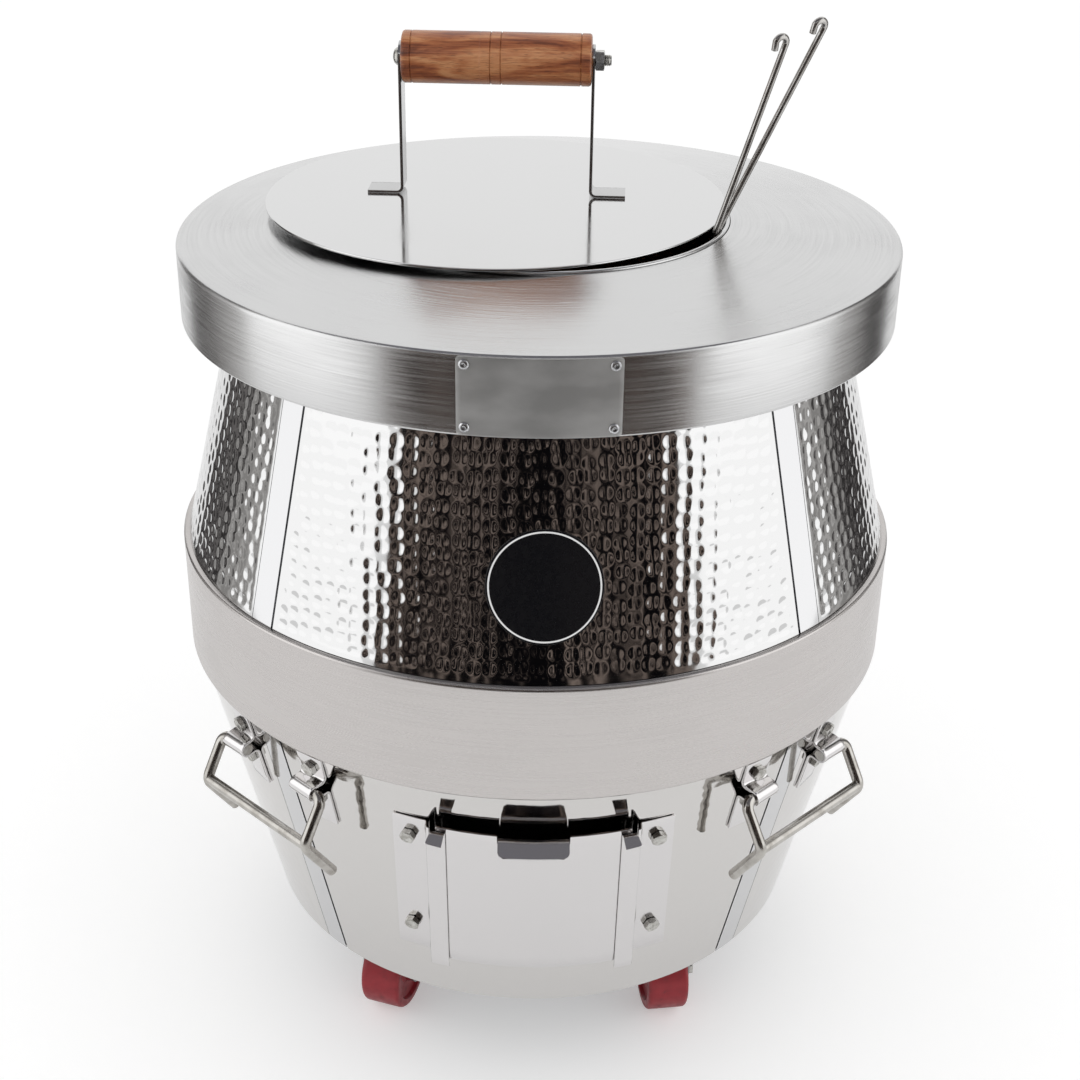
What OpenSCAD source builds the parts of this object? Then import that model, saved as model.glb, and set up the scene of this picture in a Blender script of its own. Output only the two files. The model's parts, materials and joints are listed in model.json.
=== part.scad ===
// Clay tandoor oven: a clay pot in an insulated, barrel-shaped steel body on four swivel casters.
// Millimetres. Z is up, the floor is z = 0, the pot's axis is x = y = 0, and the front faces -Y.

/* [Barrel] */
// Height of the barrel's bottom edge above the floor, which the casters fill
base_z = 87; // [80:1:110]
// Radius of the barrel at its bottom edge
base_r = 210.5; // [200:0.5:225]
// Radius of the barrel at the belly band's edges
belly_r = 261.3; // [250:0.1:280]
// Radius of the barrel under the cap
top_r = 220; // [205:1:235]
// Height of the lower, widening part
lower_h = 217; // [205:1:260]
// Height of the belly band
band_h = 86; // [60:1:110]
// Height of the upper, narrowing part
upper_h = 168; // [140:1:200]
// How far the belly band stands out of the barrel
band_step = 4.2; // [3.2:0.1:5]
// Thickness of the steel sheet
sheet_t = 1.5; // [1:0.1:2]
// Width of the plain strips over the seams between panels
strip_w = 20; // [12:1:26]
// Open joint between a strip and a panel
seam_gap = 1.2; // [0.6:0.1:2]
// Depth of the shelf that the band and the cap turn inwards
shelf_w = 9; // [7:0.5:12]

/* [Cap] */
// Outside radius of the cap
cap_r = 254; // [245:1:265]
// Height of the cap's skirt
skirt_h = 52; // [44:1:70]
// How far the cap's top rises towards the mouth
cap_rise = 9.8; // [5:0.1:16]
// Radius of the bend between the skirt and the top
cap_bend_r = 3; // [2:0.5:6]

/* [Mouth] */
// Inside radius of the mouth
mouth_r = 131; // [115:1:140]
// Thickness of the mouth collar's steel
collar_t = 1.6; // [1.2:0.1:2.5]
// Length of the collar's sleeve inside the pot's neck
collar_sleeve = 38; // [28:1:50]
// Radius of the rolled bead round the mouth
bead_r = 1.6; // [1.2:0.1:2.5]

/* [Clay pot] */
// Thickness of the clay
clay_t = 28; // [22:1:32]
// Height of the pot's inside floor above the ground
pot_floor_z = 155; // [150:1:157]
// Inside radius of the pot at its floor
pot_floor_r = 140; // [125:1:145]
// Inside radius of the pot at its widest
pot_belly_r = 172; // [160:1:180]
// Height of the pot's widest place
pot_belly_z = 350; // [320:1:380]
// How far the pot's rim lies below the cap's top edge
pot_rim_drop = 10; // [6:1:20]
// Flat facets along the pot's curve
pot_steps = 9; // [5:1:14]
// Space between the insulation and the steel body
insulation_gap = 16; // [14:1:22]

/* [Frame and base] */
// Thickness of the inner frame's ribs and rings
frame_t = 3; // [2:0.5:4]
// Width of a rib behind a seam
rib_w = 36; // [28:1:44]
// Height of the frame's rings
ring_h = 22; // [15:1:30]
// Width of the pad behind a side handle
pad_w = 118; // [112:1:130]
// Height of the pad behind a side handle
pad_h = 66; // [60:1:70]
// Thickness of the base plate
base_t = 3; // [2:0.5:5]

/* [Draught door] */
// Height of the door along the slope
door_h = 142; // [130:1:145]
// Width of the door, with the edges that run behind the rails
door_w = 132; // [128:1:134]
// Thickness of the door
door_t = 1.5; // [1:0.1:2]
// Height of the door's bottom edge above the ground
door_z = 133; // [130:1:140]
// Gap between the barrel and the door, so that the open door passes the belly band
door_stand = 6.5; // [6.2:0.1:8]
// Running gap between the door and its rails
door_slack = 0.4; // [0.3:0.1:0.6]
// Width of the opening behind the door
vent_w = 96; // [80:1:104]
// Height of the opening behind the door
vent_h = 80; // [60:1:84]
// Height of the opening's bottom edge above the ground
vent_z = 158; // [157:1:162]
// Width of the door's pull tab
tab_w = 48; // [36:1:56]
// Depth of the door's pull tab
tab_l = 15; // [14:1:24]
// Droop of the pull tab and of the rails' ears, in degrees
tab_droop = 16; // [5:1:25]
// Radius of the pull tab's corners
tab_corner_r = 4; // [2:0.5:6]
// Visible width of the door between its rails
rail_gap = 119; // [116:1:121]
// Width of a rail's raised face
rail_w = 13; // [11:0.5:14]
// Width of a guide's flat flange beside the rail
flange_w = 23; // [20:0.5:26]
// How far the rails run below the door
rail_foot = 7; // [5:0.5:9]
// Thickness of the stops under the door
stop_t = 3; // [2:0.5:4]
// Depth of the ears at the rails' upper ends
ear_l = 11; // [10:1:18]
// How far the ears turn away from the door, in degrees
ear_splay = 18; // [0:1:25]

/* [Side handles] */
// Diameter of the handles' rod
handle_d = 8; // [7:0.5:9]
// Angle of the front handles from the front, and of the rear ones from the back
handle_az = 44.5; // [43:0.5:47]
// Height of the handles' hinge line above the ground, where it crosses the barrel's face
handle_z = 278; // [274:1:279]
// Height of the hinge line over the barrel's face
pin_stand = 7.6; // [7:0.1:9]
// Distance from the middle of a handle to its arms
arm_x = 55.5; // [54:0.5:58]
// Length of a handle's arm
arm_l = 35.6; // [30:0.1:40]
// Angle of the arm out of plumb as the handle hangs, in degrees
arm_lean = 29.4; // [20:0.1:35]
// Length of the stop leg that turns back to the barrel
leg_l = 40; // [34:0.5:42]
// Turn between the arm and the stop leg, in degrees
leg_turn = 64.4; // [50:0.1:75]
// Radius of the rod's bend beside a saddle
pin_bend_r = 6.5; // [5:0.5:8]
// Radius of the rod's bend between the arm and the stop leg
handle_bend_r = 9; // [7:0.5:10]
// Radial clearance of the rod in its saddles
hinge_slack = 0.06; // [0.02:0.01:0.1]
// Width of a saddle along the hinge line
saddle_w = 22; // [20:1:30]
// Thickness of a saddle's steel
saddle_t = 1.8; // [1.5:0.1:2.2]
// Length of a saddle's flange above the hinge line
saddle_up = 25; // [24:0.5:26]
// Length of a saddle's flange below the hinge line
saddle_down = 38; // [28:0.5:40]
// Distance from the hinge line to a saddle's bolts
saddle_bolt_z = 14.5; // [13.5:0.5:17]

/* [Hexagon bolts] */
// Diameter of the bolts' shanks
bolt_d = 6; // [6:0.5:8]
// Width of the bolts' heads across the flats
bolt_af = 10; // [10:0.5:13]
// Height of the bolts' heads
bolt_head_h = 4; // [4:0.1:6]
// Length of the shank behind the sheet that a bolt holds
bolt_reach = 8; // [5:0.5:10]
// Radial clearance of a bolt in its hole
bolt_slack = 0.2; // [0.1:0.05:0.3]
// Height of the door guides' upper bolts above the ground
guide_bolt_high_z = 256; // [250:1:262]
// Height of the door guides' lower bolts above the ground
guide_bolt_low_z = 162; // [156:1:170]
// Distance of the door guides' bolts from the middle
guide_bolt_x = 84.5; // [83:0.5:86]

/* [Plate and badge] */
// Width of the plate on the skirt, measured straight across
plate_w = 99; // [80:1:110]
// Height of the plate on the skirt
plate_h = 50; // [36:1:51]
// Thickness of the plate
plate_t = 0.8; // [0.5:0.1:1.2]
// Diameter of a blind rivet's body
rivet_d = 4; // [3:0.1:4.8]
// Diameter of a blind rivet's head
rivet_head_d = 6.5; // [5:0.1:9]
// Distance from the plate's edges to its rivets
rivet_edge = 5; // [4:0.5:8]
// Radius of the round badge on the front panel
badge_r = 37.5; // [25:0.5:45]
// Height of the badge's middle above the ground
badge_z = 453; // [440:1:500]
// Distance of the badge from the middle of the panel
badge_x = 5; // [0:0.5:10]
// Thickness of the badge
badge_t = 0.7; // [0.5:0.1:1]

/* [Lid] */
// Radius of the lid
lid_r = 164.6; // [150:0.1:175]
// Thickness of the lid
lid_t = 2; // [1.5:0.1:3]
// Sideways place of the lid on the mouth
lid_x = -31.2; // [-32:0.1:-30]
// Place of the lid on the mouth from front to back
lid_y = 28.3; // [27:0.1:30]
// Turn of the lid's handle, in degrees
lid_turn = -3; // [-10:0.5:10]
// How far behind the middle of the lid its handle stands
lid_handle_back = 10.5; // [0:0.5:15]
// Height of the grip's axis above the lid
grip_z = 95.5; // [70:0.5:110]
// Length of the wooden grip
grip_l = 133; // [110:1:140]
// Diameter of the wooden grip
grip_d = 36; // [30:1:40]
// Width of the flat strips that hold the grip
strap_w = 21.5; // [18:0.5:26]
// Thickness of the flat strips
strap_t = 2; // [1.5:0.1:3]
// Length of the strips' feet
strap_foot = 24; // [18:1:30]
// Inside radius of the strips' bend
strap_bend_r = 2; // [1:0.5:4]
// Diameter of the grip's through bolt
grip_bolt_d = 8; // [6:0.5:8]
// Length of the through bolt's thread past the nut
grip_thread_l = 5; // [3:0.5:8]

/* [Skewers] */
// Diameter of the skewers
skewer_d = 4.5; // [4:0.1:5]
// Angle from the front at which the short skewer leans on the mouth
short_az = 68.9; // [67:0.1:69]
// Angle from the front at which the long skewer leans on the mouth
long_az = 71.9; // [71.8:0.1:73]
// How far the short skewer's tip stands past the pot's axis
short_foot = 10.7; // [5:0.1:30]
// How far the long skewer's tip stands past the pot's axis
long_foot = 73.5; // [65:0.1:90]
// Length of the short skewer outside the mouth
short_out = 137; // [120:1:180]
// Length of the long skewer outside the mouth
long_out = 154; // [140:1:200]
// Bend radius of the skewers' hooks
hook_r = 4.6; // [4:0.1:6]
// Length of a hook's straight end
hook_end = 6; // [3:0.5:10]
// Length of a skewer's point
point_l = 12; // [8:1:20]

/* [Casters] */
// Half the distance between the casters' swivels from side to side
caster_x = 102; // [90:1:108]
// Half the distance between the casters' swivels from front to back
caster_y = 89; // [80:1:95]
// Radius of the wheels
wheel_r = 32; // [28:0.5:33]
// Width of the wheels
wheel_w = 32; // [26:0.5:34]
// Distance of an axle behind its swivel
trail = 22; // [18:0.5:24]
// Side clearance of a wheel in its fork
wheel_side = 2; // [1:0.5:3]
// Thickness of the forks' steel
fork_t = 2.5; // [2:0.1:3]
// Diameter of the axles
axle_d = 8; // [6:0.5:10]
// Radial clearance of the wheels on their axles and of the forks on their kingpins
axle_slack = 0.06; // [0.02:0.01:0.1]
// Diameter of the kingpins
kingpin_d = 10; // [8:0.5:12]
// Length of a caster's top plate from side to side
mount_l = 64; // [60:1:68]
// Width of a caster's top plate from front to back
mount_w = 56; // [54:1:60]
// Thickness of a caster's top plate
mount_t = 3; // [2.5:0.5:4]
// Height of the swivel race between the top plate and the fork
race_h = 11; // [9:0.5:12]
// Distance between a top plate's bolts from side to side
mount_bolt_x = 48; // [46:1:50]
// Distance between a top plate's bolts from front to back
mount_bolt_y = 40; // [38:1:41]
// Turn of the four casters, in degrees: front left, front right, rear left, rear right
caster_yaw = [-19, 8, 171, 204];

/* [Hidden] */
$fn = 96;

// Gap between pieces that rest on or beside each other
seat = 0.3;
// Gap between a curved face and the sheet that it is clamped to
skin = 0.15;
// Larger than the whole oven, for cutting tools
far = 400;

// Levels from the floor up
band_z = base_z + lower_h;
upper_z = band_z + band_h;
skirt_z = upper_z + upper_h;
cap_z = skirt_z + skirt_h;
mouth_z = cap_z + cap_rise;
bead_z = mouth_z + bead_r;
lid_z = bead_z + seat;
lid_top_z = lid_z + lid_t;
grip_axis_z = lid_top_z + grip_z;

// Slopes of the barrel's two cones
lower_k = (belly_r - base_r) / lower_h;
upper_k = (belly_r - top_r) / upper_h;
lower_tilt = atan(lower_k);
upper_tilt = atan(upper_k);
band_r = belly_r + band_step;
bead_mid_r = mouth_r + bead_r;

function lower_r(z) = base_r + (z - base_z) * lower_k;
function upper_r(z) = belly_r - (z - upper_z) * upper_k;

// The pot: parabolas from its widest place down to the floor and up to the neck
pot_rim_z = cap_z - pot_rim_drop;
pot_neck_r = mouth_r + collar_t + seat;
function pot_z(i) = i <= pot_steps
    ? pot_floor_z + (pot_belly_z - pot_floor_z) * i / pot_steps
    : pot_belly_z + (pot_rim_z - pot_belly_z) * (i - pot_steps) / pot_steps;
function pot_r(z) = z < pot_belly_z
    ? pot_belly_r - (pot_belly_r - pot_floor_r) * pow((pot_belly_z - z) / (pot_belly_z - pot_floor_z), 2)
    : pot_belly_r - (pot_belly_r - pot_neck_r) * pow((z - pot_belly_z) / (pot_rim_z - pot_belly_z), 2);
pot_curve = [for (i = [0:2 * pot_steps]) [pot_r(pot_z(i)), pot_z(i)]];
pot_bottom_z = pot_floor_z - clay_t;

// The draught door slides on a cylinder that lies along the lower cone's slope
door_mid_z = door_z + door_h / 2;
door_arc_r = lower_r(door_mid_z) / cos(lower_tilt);
door_in_r = door_arc_r + door_stand;
door_out_r = door_in_r + door_t;
rail_in_r = door_out_r + door_slack;
rail_out_r = rail_in_r + sheet_t;
flange_x = rail_gap / 2 + rail_w;

// The side handles
rod_r = handle_d / 2;
elbow_l = handle_bend_r * tan(leg_turn / 2);
saddle_x = arm_x - pin_bend_r - seat - saddle_w / 2;
pin_end = saddle_x - saddle_w / 2;
handle_azs = [-handle_az, handle_az, handle_az - 180, 180 - handle_az];

// The lid's handle
strap_x = grip_l / 2 + seat;
grip_nut_h = grip_bolt_d * 0.8;

// The skewers
skewer_foot_z = pot_floor_z + seat;
skewer_rise = mouth_z - skewer_foot_z;

// The casters
caster_at = [[-caster_x, -caster_y], [caster_x, -caster_y], [-caster_x, caster_y], [caster_x, caster_y]];
mount_z = base_z - mount_t;
crown_z = mount_z - race_h;
fork_in = wheel_w / 2 + wheel_side;
pin_head_h = 3;
pin_head_r = kingpin_d / 2 + 3.5;

// Turns its children from the front to another side of the oven
module at_az(az) {
    rotate([0, 0, az]) children();
}

// Puts its children on the lower cone: X along the face, Z up the slope, -Y out of the face
module on_lower(az, z) {
    at_az(az) translate([0, -lower_r(z), z]) rotate([lower_tilt, 0, 0]) children();
}

// Puts its children on the upper cone in the same way
module on_upper(az, z) {
    at_az(az) translate([0, -upper_r(z), z]) rotate([-upper_tilt, 0, 0]) children();
}

// A conical shell; grow moves its outer face out of the cone that the radii give
module cone_shell(z0, r0, z1, r1, t, grow = 0) {
    rotate_extrude() {
        polygon([[r0 + grow - t, z0], [r0 + grow, z0], [r1 + grow, z1], [r1 + grow - t, z1]]);
    }
}

// The lower and the upper cone's faces as shells between two levels
module lower_shell(z0, z1, t, grow = 0) {
    cone_shell(z0, lower_r(z0), z1, lower_r(z1), t, grow);
}

module upper_shell(z0, z1, t, grow = 0) {
    cone_shell(z0, upper_r(z0), z1, upper_r(z1), t, grow);
}

// The body of the lower cone, finely stepped, to cut what stands on it to its shape
module lower_body(grow = 0) {
    high_z = band_z + far / 4;
    translate([0, 0, base_z]) {
        cylinder(h = high_z - base_z, r1 = base_r + grow, r2 = lower_r(high_z) + grow, $fn = 360);
    }
}

// A slab through the barrel on one side, as wide as given
module slab(az, w) {
    at_az(az) translate([-w / 2, -far, -1]) cube([w, far, 2 * far]);
}

// A quarter of the barrel, centred on one side
module quarter(az) {
    rotate([0, 0, az - 135]) rotate_extrude(angle = 90) square([far, 2 * far]);
}

// A hexagon bolt that comes out of a face along -Y, with its shank behind the face
module bolt(reach) {
    rotate([90, 0, 0]) cylinder(h = bolt_head_h, d = bolt_af / cos(30), $fn = 6);
    translate([0, -1, 0]) rotate([-90, 0, 0]) cylinder(h = reach + 1, d = bolt_d);
}

module bolt_hole() {
    translate([0, -far / 4, 0]) rotate([-90, 0, 0]) cylinder(h = far / 2, d = bolt_d + 2 * bolt_slack);
}

// Side of a saddle's middle from the middle of its handle, as an angle round the barrel
saddle_turn = asin(saddle_x / lower_r(handle_z));

// Puts its children at the eight saddles, on the barrel's face at the hinge line's height
module at_saddles() {
    for (az = handle_azs, s = [-1, 1]) on_lower(az + s * saddle_turn, handle_z) children();
}

module at_saddle_bolts() {
    at_saddles() for (z = [-saddle_bolt_z, saddle_bolt_z]) translate([0, 0, z]) children();
}

module at_guide_bolts() {
    for (s = [-1, 1], z = [guide_bolt_low_z, guide_bolt_high_z]) {
        on_lower(s * asin(guide_bolt_x / lower_r(z)), z) children();
    }
}

module upper_panel(az) {
    color("gainsboro") difference() {
        intersection() {
            upper_shell(upper_z + seat, skirt_z - seat, sheet_t);
            quarter(az);
        }
        for (s = [-45, 45]) slab(az + s, strip_w + 2 * seam_gap);
    }
}

module lower_panel(az) {
    color("gainsboro") difference() {
        intersection() {
            lower_shell(base_z, band_z - seat, sheet_t);
            quarter(az);
        }
        for (s = [-45, 45]) slab(az + s, strip_w + 2 * seam_gap);
        at_saddle_bolts() bolt_hole();
        if (az == 0) {
            at_guide_bolts() bolt_hole();
            vent_hole(seat);
        }
    }
}

// The draught opening's outline, grown all round and cut through the front
module vent_hole(grow) {
    translate([-vent_w / 2 - grow, -far, vent_z - grow]) {
        cube([vent_w + 2 * grow, far, vent_h + 2 * grow]);
    }
}

module upper_panel_front() {
    upper_panel(0);
}

module upper_panel_right() {
    upper_panel(90);
}

module upper_panel_back() {
    upper_panel(180);
}

module upper_panel_left() {
    upper_panel(270);
}

module lower_panel_front() {
    lower_panel(0);
}

module lower_panel_right() {
    lower_panel(90);
}

module lower_panel_back() {
    lower_panel(180);
}

module lower_panel_left() {
    lower_panel(270);
}

module upper_seam_strips() {
    color("whitesmoke") for (az = [45:90:315]) intersection() {
        upper_shell(upper_z + seat, skirt_z - seat, sheet_t);
        slab(az, strip_w);
    }
}

module lower_seam_strips() {
    color("whitesmoke") for (az = [45:90:315]) intersection() {
        lower_shell(base_z, band_z - seat, sheet_t);
        slab(az, strip_w);
    }
}

// A band round the belly, turned inwards along both edges to carry the panels
module belly_band() {
    shelf_r = belly_r - shelf_w + band_step;
    color("silver") rotate_extrude() polygon([
        [shelf_r, band_z], [band_r, band_z], [band_r, upper_z], [shelf_r, upper_z],
        [shelf_r, upper_z - sheet_t], [band_r - sheet_t, upper_z - sheet_t],
        [band_r - sheet_t, band_z + sheet_t], [shelf_r, band_z + sheet_t]
    ]);
}

// The cap: a skirt, a bend, a shallow cone up to the mouth and a shelf under the skirt
module top_cap() {
    throat_r = mouth_r + 2 * bead_r + seat;
    shelf_r = top_r - shelf_w;
    bend = [for (a = [0:15:90]) [cap_r - cap_bend_r * (1 - cos(a)), cap_z - cap_bend_r * (1 - sin(a))]];
    color("lightgray") difference() {
        rotate_extrude() polygon(concat(
            [[shelf_r, skirt_z], [cap_r, skirt_z]], bend,
            [[throat_r, mouth_z], [throat_r, mouth_z - sheet_t],
            [cap_r - cap_bend_r, cap_z - sheet_t], [cap_r - sheet_t, cap_z - cap_bend_r],
            [cap_r - sheet_t, skirt_z + sheet_t], [shelf_r, skirt_z + sheet_t]]
        ));
        at_plate_rivets() rivet_hole();
    }
}

// The collar: a sleeve in the pot's neck with a rolled bead on top
module mouth_collar() {
    color("silver") rotate_extrude() {
        translate([mouth_r, mouth_z - collar_sleeve]) square([collar_t, collar_sleeve]);
        translate([bead_mid_r, mouth_z]) circle(r = bead_r, $fn = 24);
    }
}

module pot_inside() {
    rotate_extrude() polygon(concat(
        [[0, pot_floor_z]], pot_curve, [[pot_neck_r, cap_z + far], [0, cap_z + far]]
    ));
}

module clay_pot() {
    wall = [for (p = pot_curve) [p[0] + clay_t, p[1]]];
    color("sienna") difference() {
        rotate_extrude() polygon(concat(
            [[0, pot_bottom_z], [pot_floor_r + clay_t / 2, pot_bottom_z]], wall, [[0, pot_rim_z]]
        ));
        pot_inside();
        vent_hole(seat);
    }
}

// Fibre packed between the pot and the body, with a bed under the pot
module insulation() {
    fill_bottom_z = base_z + base_t + seat;
    hug = [for (i = [2 * pot_steps:-1:0]) [pot_curve[i][0] + clay_t + seat, pot_curve[i][1]]];
    color("ivory") difference() {
        rotate_extrude() polygon(concat(
            [[0, fill_bottom_z], [lower_r(fill_bottom_z) - insulation_gap, fill_bottom_z],
            [belly_r - insulation_gap, band_z], [belly_r - insulation_gap, upper_z],
            [top_r - insulation_gap, skirt_z], [top_r - insulation_gap, pot_rim_z]],
            hug, [[pot_floor_r + clay_t / 2 + seat, pot_bottom_z - seat], [0, pot_bottom_z - seat]]
        ));
        vent_hole(seat);
    }
}

// Ribs behind the seams, three rings let into them and the pads that take the handles' bolts
module inner_frame() {
    back = sheet_t + seat;
    deep = back + frame_t / 2;
    rib_low_z = base_z + base_t + seat;
    ring_r = belly_r - back - frame_t - 1;
    lap = 14;
    end = 2;
    color("dimgray") difference() {
        union() {
            for (az = [45:90:315]) {
                intersection() {
                    lower_shell(rib_low_z, band_z - seat, frame_t, -back);
                    slab(az, rib_w);
                }
                intersection() {
                    upper_shell(upper_z + seat, skirt_z - seat, frame_t, -back);
                    slab(az, rib_w);
                }
            }
            for (az = handle_azs) intersection() {
                lower_shell(handle_z - pad_h / 2, band_z - seat - end, frame_t, -deep);
                slab(az, pad_w);
            }
            lower_shell(rib_low_z + end, rib_low_z + ring_h, frame_t, -deep);
            upper_shell(skirt_z - ring_h, skirt_z - seat - end, frame_t, -deep);
            cone_shell(band_z - lap, ring_r, upper_z + lap, ring_r, frame_t);
        }
        at_saddle_bolts() bolt_hole();
    }
}

module base_plate() {
    color("silver") difference() {
        translate([0, 0, base_z]) cylinder(r = base_r - sheet_t - seat, h = base_t);
        at_caster_bolts() cylinder(h = far, d = bolt_d + 2 * bolt_slack, center = true);
    }
}

// A square steel duct from the draught opening through insulation and clay into the pot
module draught_tunnel() {
    color("darkgray") difference() {
        intersection() {
            vent_hole(0);
            lower_body();
        }
        translate([-vent_w / 2 + sheet_t, -far - 1, vent_z + sheet_t]) {
            cube([vent_w - 2 * sheet_t, far + 2, vent_h - 2 * sheet_t]);
        }
        pot_inside();
    }
}

// A sheet bent along the slope, between two radii round the door's arc
module slope_arc(r_in, r_out, x0, x1, z0, z1) {
    on_lower(0, door_mid_z) intersection() {
        translate([0, door_arc_r, z0]) difference() {
            cylinder(r = r_out, h = z1 - z0, $fn = 240);
            translate([0, 0, -1]) cylinder(r = r_in, h = z1 - z0 + 2, $fn = 240);
        }
        translate([x0, -far, z0 - 1]) cube([x1 - x0, 1.5 * far, z1 - z0 + 2]);
    }
}

// The space inside a radius round the door's arc, to cut what grows out of a bent sheet
module slope_core(r) {
    on_lower(0, door_mid_z) translate([0, door_arc_r, -far / 2]) cylinder(r = r, h = far, $fn = 240);
}

// A tab that comes out of a bent sheet's upper edge, with rounded outer corners and a root
module tab(w, l, r) {
    root = 6;
    corner = [for (a = [0:15:90]) [w / 2 - r + r * cos(a), -l + r - r * sin(a)]];
    other = [for (i = [len(corner) - 1:-1:0]) [-corner[i][0], corner[i][1]]];
    rotate([tab_droop, 0, 0]) translate([0, 0, -sheet_t]) linear_extrude(sheet_t) {
        polygon(concat([[w / 2, root]], corner, other, [[-w / 2, root]]));
    }
}

module draught_door() {
    half = door_h / 2;
    color("lightgray") {
        slope_arc(door_in_r, door_out_r, -door_w / 2, door_w / 2, -half, half);
        difference() {
            on_lower(0, door_mid_z) translate([0, -door_stand - door_t, half]) {
                tab(tab_w, tab_l, tab_corner_r);
            }
            slope_core(door_in_r + door_t / 2);
        }
    }
}

// One guide: a flange on the barrel, a raised rail over the door's edge, a foot and an ear
module door_guide(s) {
    half = door_h / 2;
    foot_z = -half - rail_foot;
    rail_edge = rail_gap / 2;
    inner = s > 0 ? rail_edge : -flange_x;
    outer = s > 0 ? flange_x : -rail_edge;
    wall = s > 0 ? flange_x - sheet_t : -flange_x;
    rim = flange_x + flange_w;
    color("gainsboro") difference() {
        union() {
            intersection() {
                lower_shell(door_z, door_z + door_h * cos(lower_tilt), sheet_t, sheet_t + skin);
                translate([s > 0 ? flange_x - 1 : -rim, -far, 0]) cube([flange_w + 1, far, far]);
            }
            difference() {
                union() {
                    slope_arc(rail_in_r, rail_out_r, inner, outer, foot_z, half);
                    slope_arc(door_arc_r - 5, rail_out_r, wall, wall + sheet_t, foot_z, half);
                    slope_arc(door_arc_r - 5, rail_out_r, inner, outer, -half - seat - stop_t, -half - seat);
                }
                lower_body(skin + sheet_t / 2);
            }
            difference() {
                x = s * (rail_edge + rail_w / 2);
                y = door_arc_r - sqrt(rail_out_r * rail_out_r - x * x);
                on_lower(0, door_mid_z) translate([x, y, half]) rotate([0, 0, s * ear_splay]) {
                    tab(rail_w, ear_l, 1);
                }
                slope_core(rail_in_r + sheet_t / 2);
            }
        }
        at_guide_bolts() bolt_hole();
    }
}

module door_guide_left() {
    door_guide(-1);
}

module door_guide_right() {
    door_guide(1);
}

module door_guide_bolts() {
    color("silver") at_guide_bolts() translate([0, -sheet_t - 2 * skin, 0]) bolt(bolt_reach);
}

// The side handles, drawn in a frame whose X is the hinge line and whose -Z is the arm
module half_handle() {
    down = arm_l - elbow_l;
    pin_l = arm_x - pin_bend_r - pin_end;
    translate([pin_end, 0, 0]) rotate([0, 90, 0]) cylinder(h = pin_l, r = rod_r);
    translate([arm_x - pin_bend_r, 0, -pin_bend_r]) rotate([90, 0, 0]) rod_bend(pin_bend_r, 90);
    translate([arm_x, 0, -down]) cylinder(h = down - pin_bend_r, r = rod_r);
    translate([arm_x, handle_bend_r, -down]) {
        rotate([90, 0, 90]) rotate([0, 0, 180]) rod_bend(handle_bend_r, leg_turn);
        translate([0, -handle_bend_r * cos(leg_turn), -handle_bend_r * sin(leg_turn)]) {
            rotate([180 + leg_turn, 0, 0]) {
                cylinder(h = leg_l - elbow_l, r = rod_r);
                rod_joint(rod_r);
            }
        }
    }
}

// A hair's breadth of weld round a rod, where it meets its bend
module rod_joint(r) {
    translate([0, 0, -0.25]) cylinder(r = r + 0.03, h = 0.5);
}

module rod_bend(bend_r, turn) {
    rotate_extrude(angle = turn) translate([bend_r, 0]) circle(r = rod_r, $fn = 48);
}

module handle(az) {
    mid = leg_turn / 2;
    bar_y = handle_bend_r * (1 - cos(mid));
    bar_z = -(arm_l - elbow_l) - handle_bend_r * sin(mid);
    color("silver") on_lower(az, handle_z) translate([0, -pin_stand, 0]) {
        rotate([-arm_lean - lower_tilt, 0, 0]) {
            half_handle();
            mirror([1, 0, 0]) half_handle();
            translate([-arm_x, bar_y, bar_z]) rotate([0, 90, 0]) cylinder(h = 2 * arm_x, r = rod_r);
        }
    }
}

module handle_front_left() {
    handle(handle_azs[0]);
}

module handle_front_right() {
    handle(handle_azs[1]);
}

module handle_rear_left() {
    handle(handle_azs[2]);
}

module handle_rear_right() {
    handle(handle_azs[3]);
}

// Outline of a saddle's channel from the side: round over the rod, straight to the barrel
module channel_outline(r) {
    over = [for (a = [90:7.5:270]) [r * cos(a), r * sin(a)]];
    polygon(concat(over, [[pin_stand + 7, -r], [pin_stand + 7, r]]));
}

// One strap saddle: a channel over the rod, open to the barrel, between two flanges
module handle_saddle(az, s) {
    bore_r = rod_r + hinge_slack;
    difference() {
        union() {
            on_lower(az, handle_z) translate([s * saddle_x - saddle_w / 2, -pin_stand, 0]) {
                rotate([90, 0, 90]) linear_extrude(saddle_w) channel_outline(bore_r + saddle_t);
            }
            on_lower(az + s * saddle_turn, handle_z) {
                translate([-saddle_w / 2, -saddle_t - skin, -saddle_down]) {
                    cube([saddle_w, saddle_t + skin + 2, saddle_down + saddle_up]);
                }
            }
        }
        on_lower(az, handle_z) translate([s * saddle_x - saddle_w, -pin_stand, 0]) {
            translate([0, 0.01, -bore_r + 0.01]) cube([2 * saddle_w, pin_stand + 8, 2 * bore_r - 0.02]);
            rotate([0, 90, 0]) cylinder(h = 2 * saddle_w, r = bore_r);
        }
        lower_body(skin);
        on_lower(az + s * saddle_turn, handle_z) {
            for (z = [-saddle_bolt_z, saddle_bolt_z]) translate([0, 0, z]) bolt_hole();
        }
    }
}

module handle_saddles() {
    color("gainsboro") for (az = handle_azs, s = [-1, 1]) handle_saddle(az, s);
}

module saddle_bolts() {
    color("silver") at_saddle_bolts() translate([0, -saddle_t - 2 * skin, 0]) bolt(bolt_reach);
}

// Puts its children at the plate's corners on the skirt, with -Y out of the skirt
module at_plate_rivets() {
    across = plate_w / 2 - rivet_edge;
    up = plate_h / 2 - rivet_edge;
    for (s = [-1, 1], z = [-up, up]) {
        at_az(s * asin(across / cap_r)) translate([0, -cap_r, skirt_z + skirt_h / 2 + z]) children();
    }
}

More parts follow.
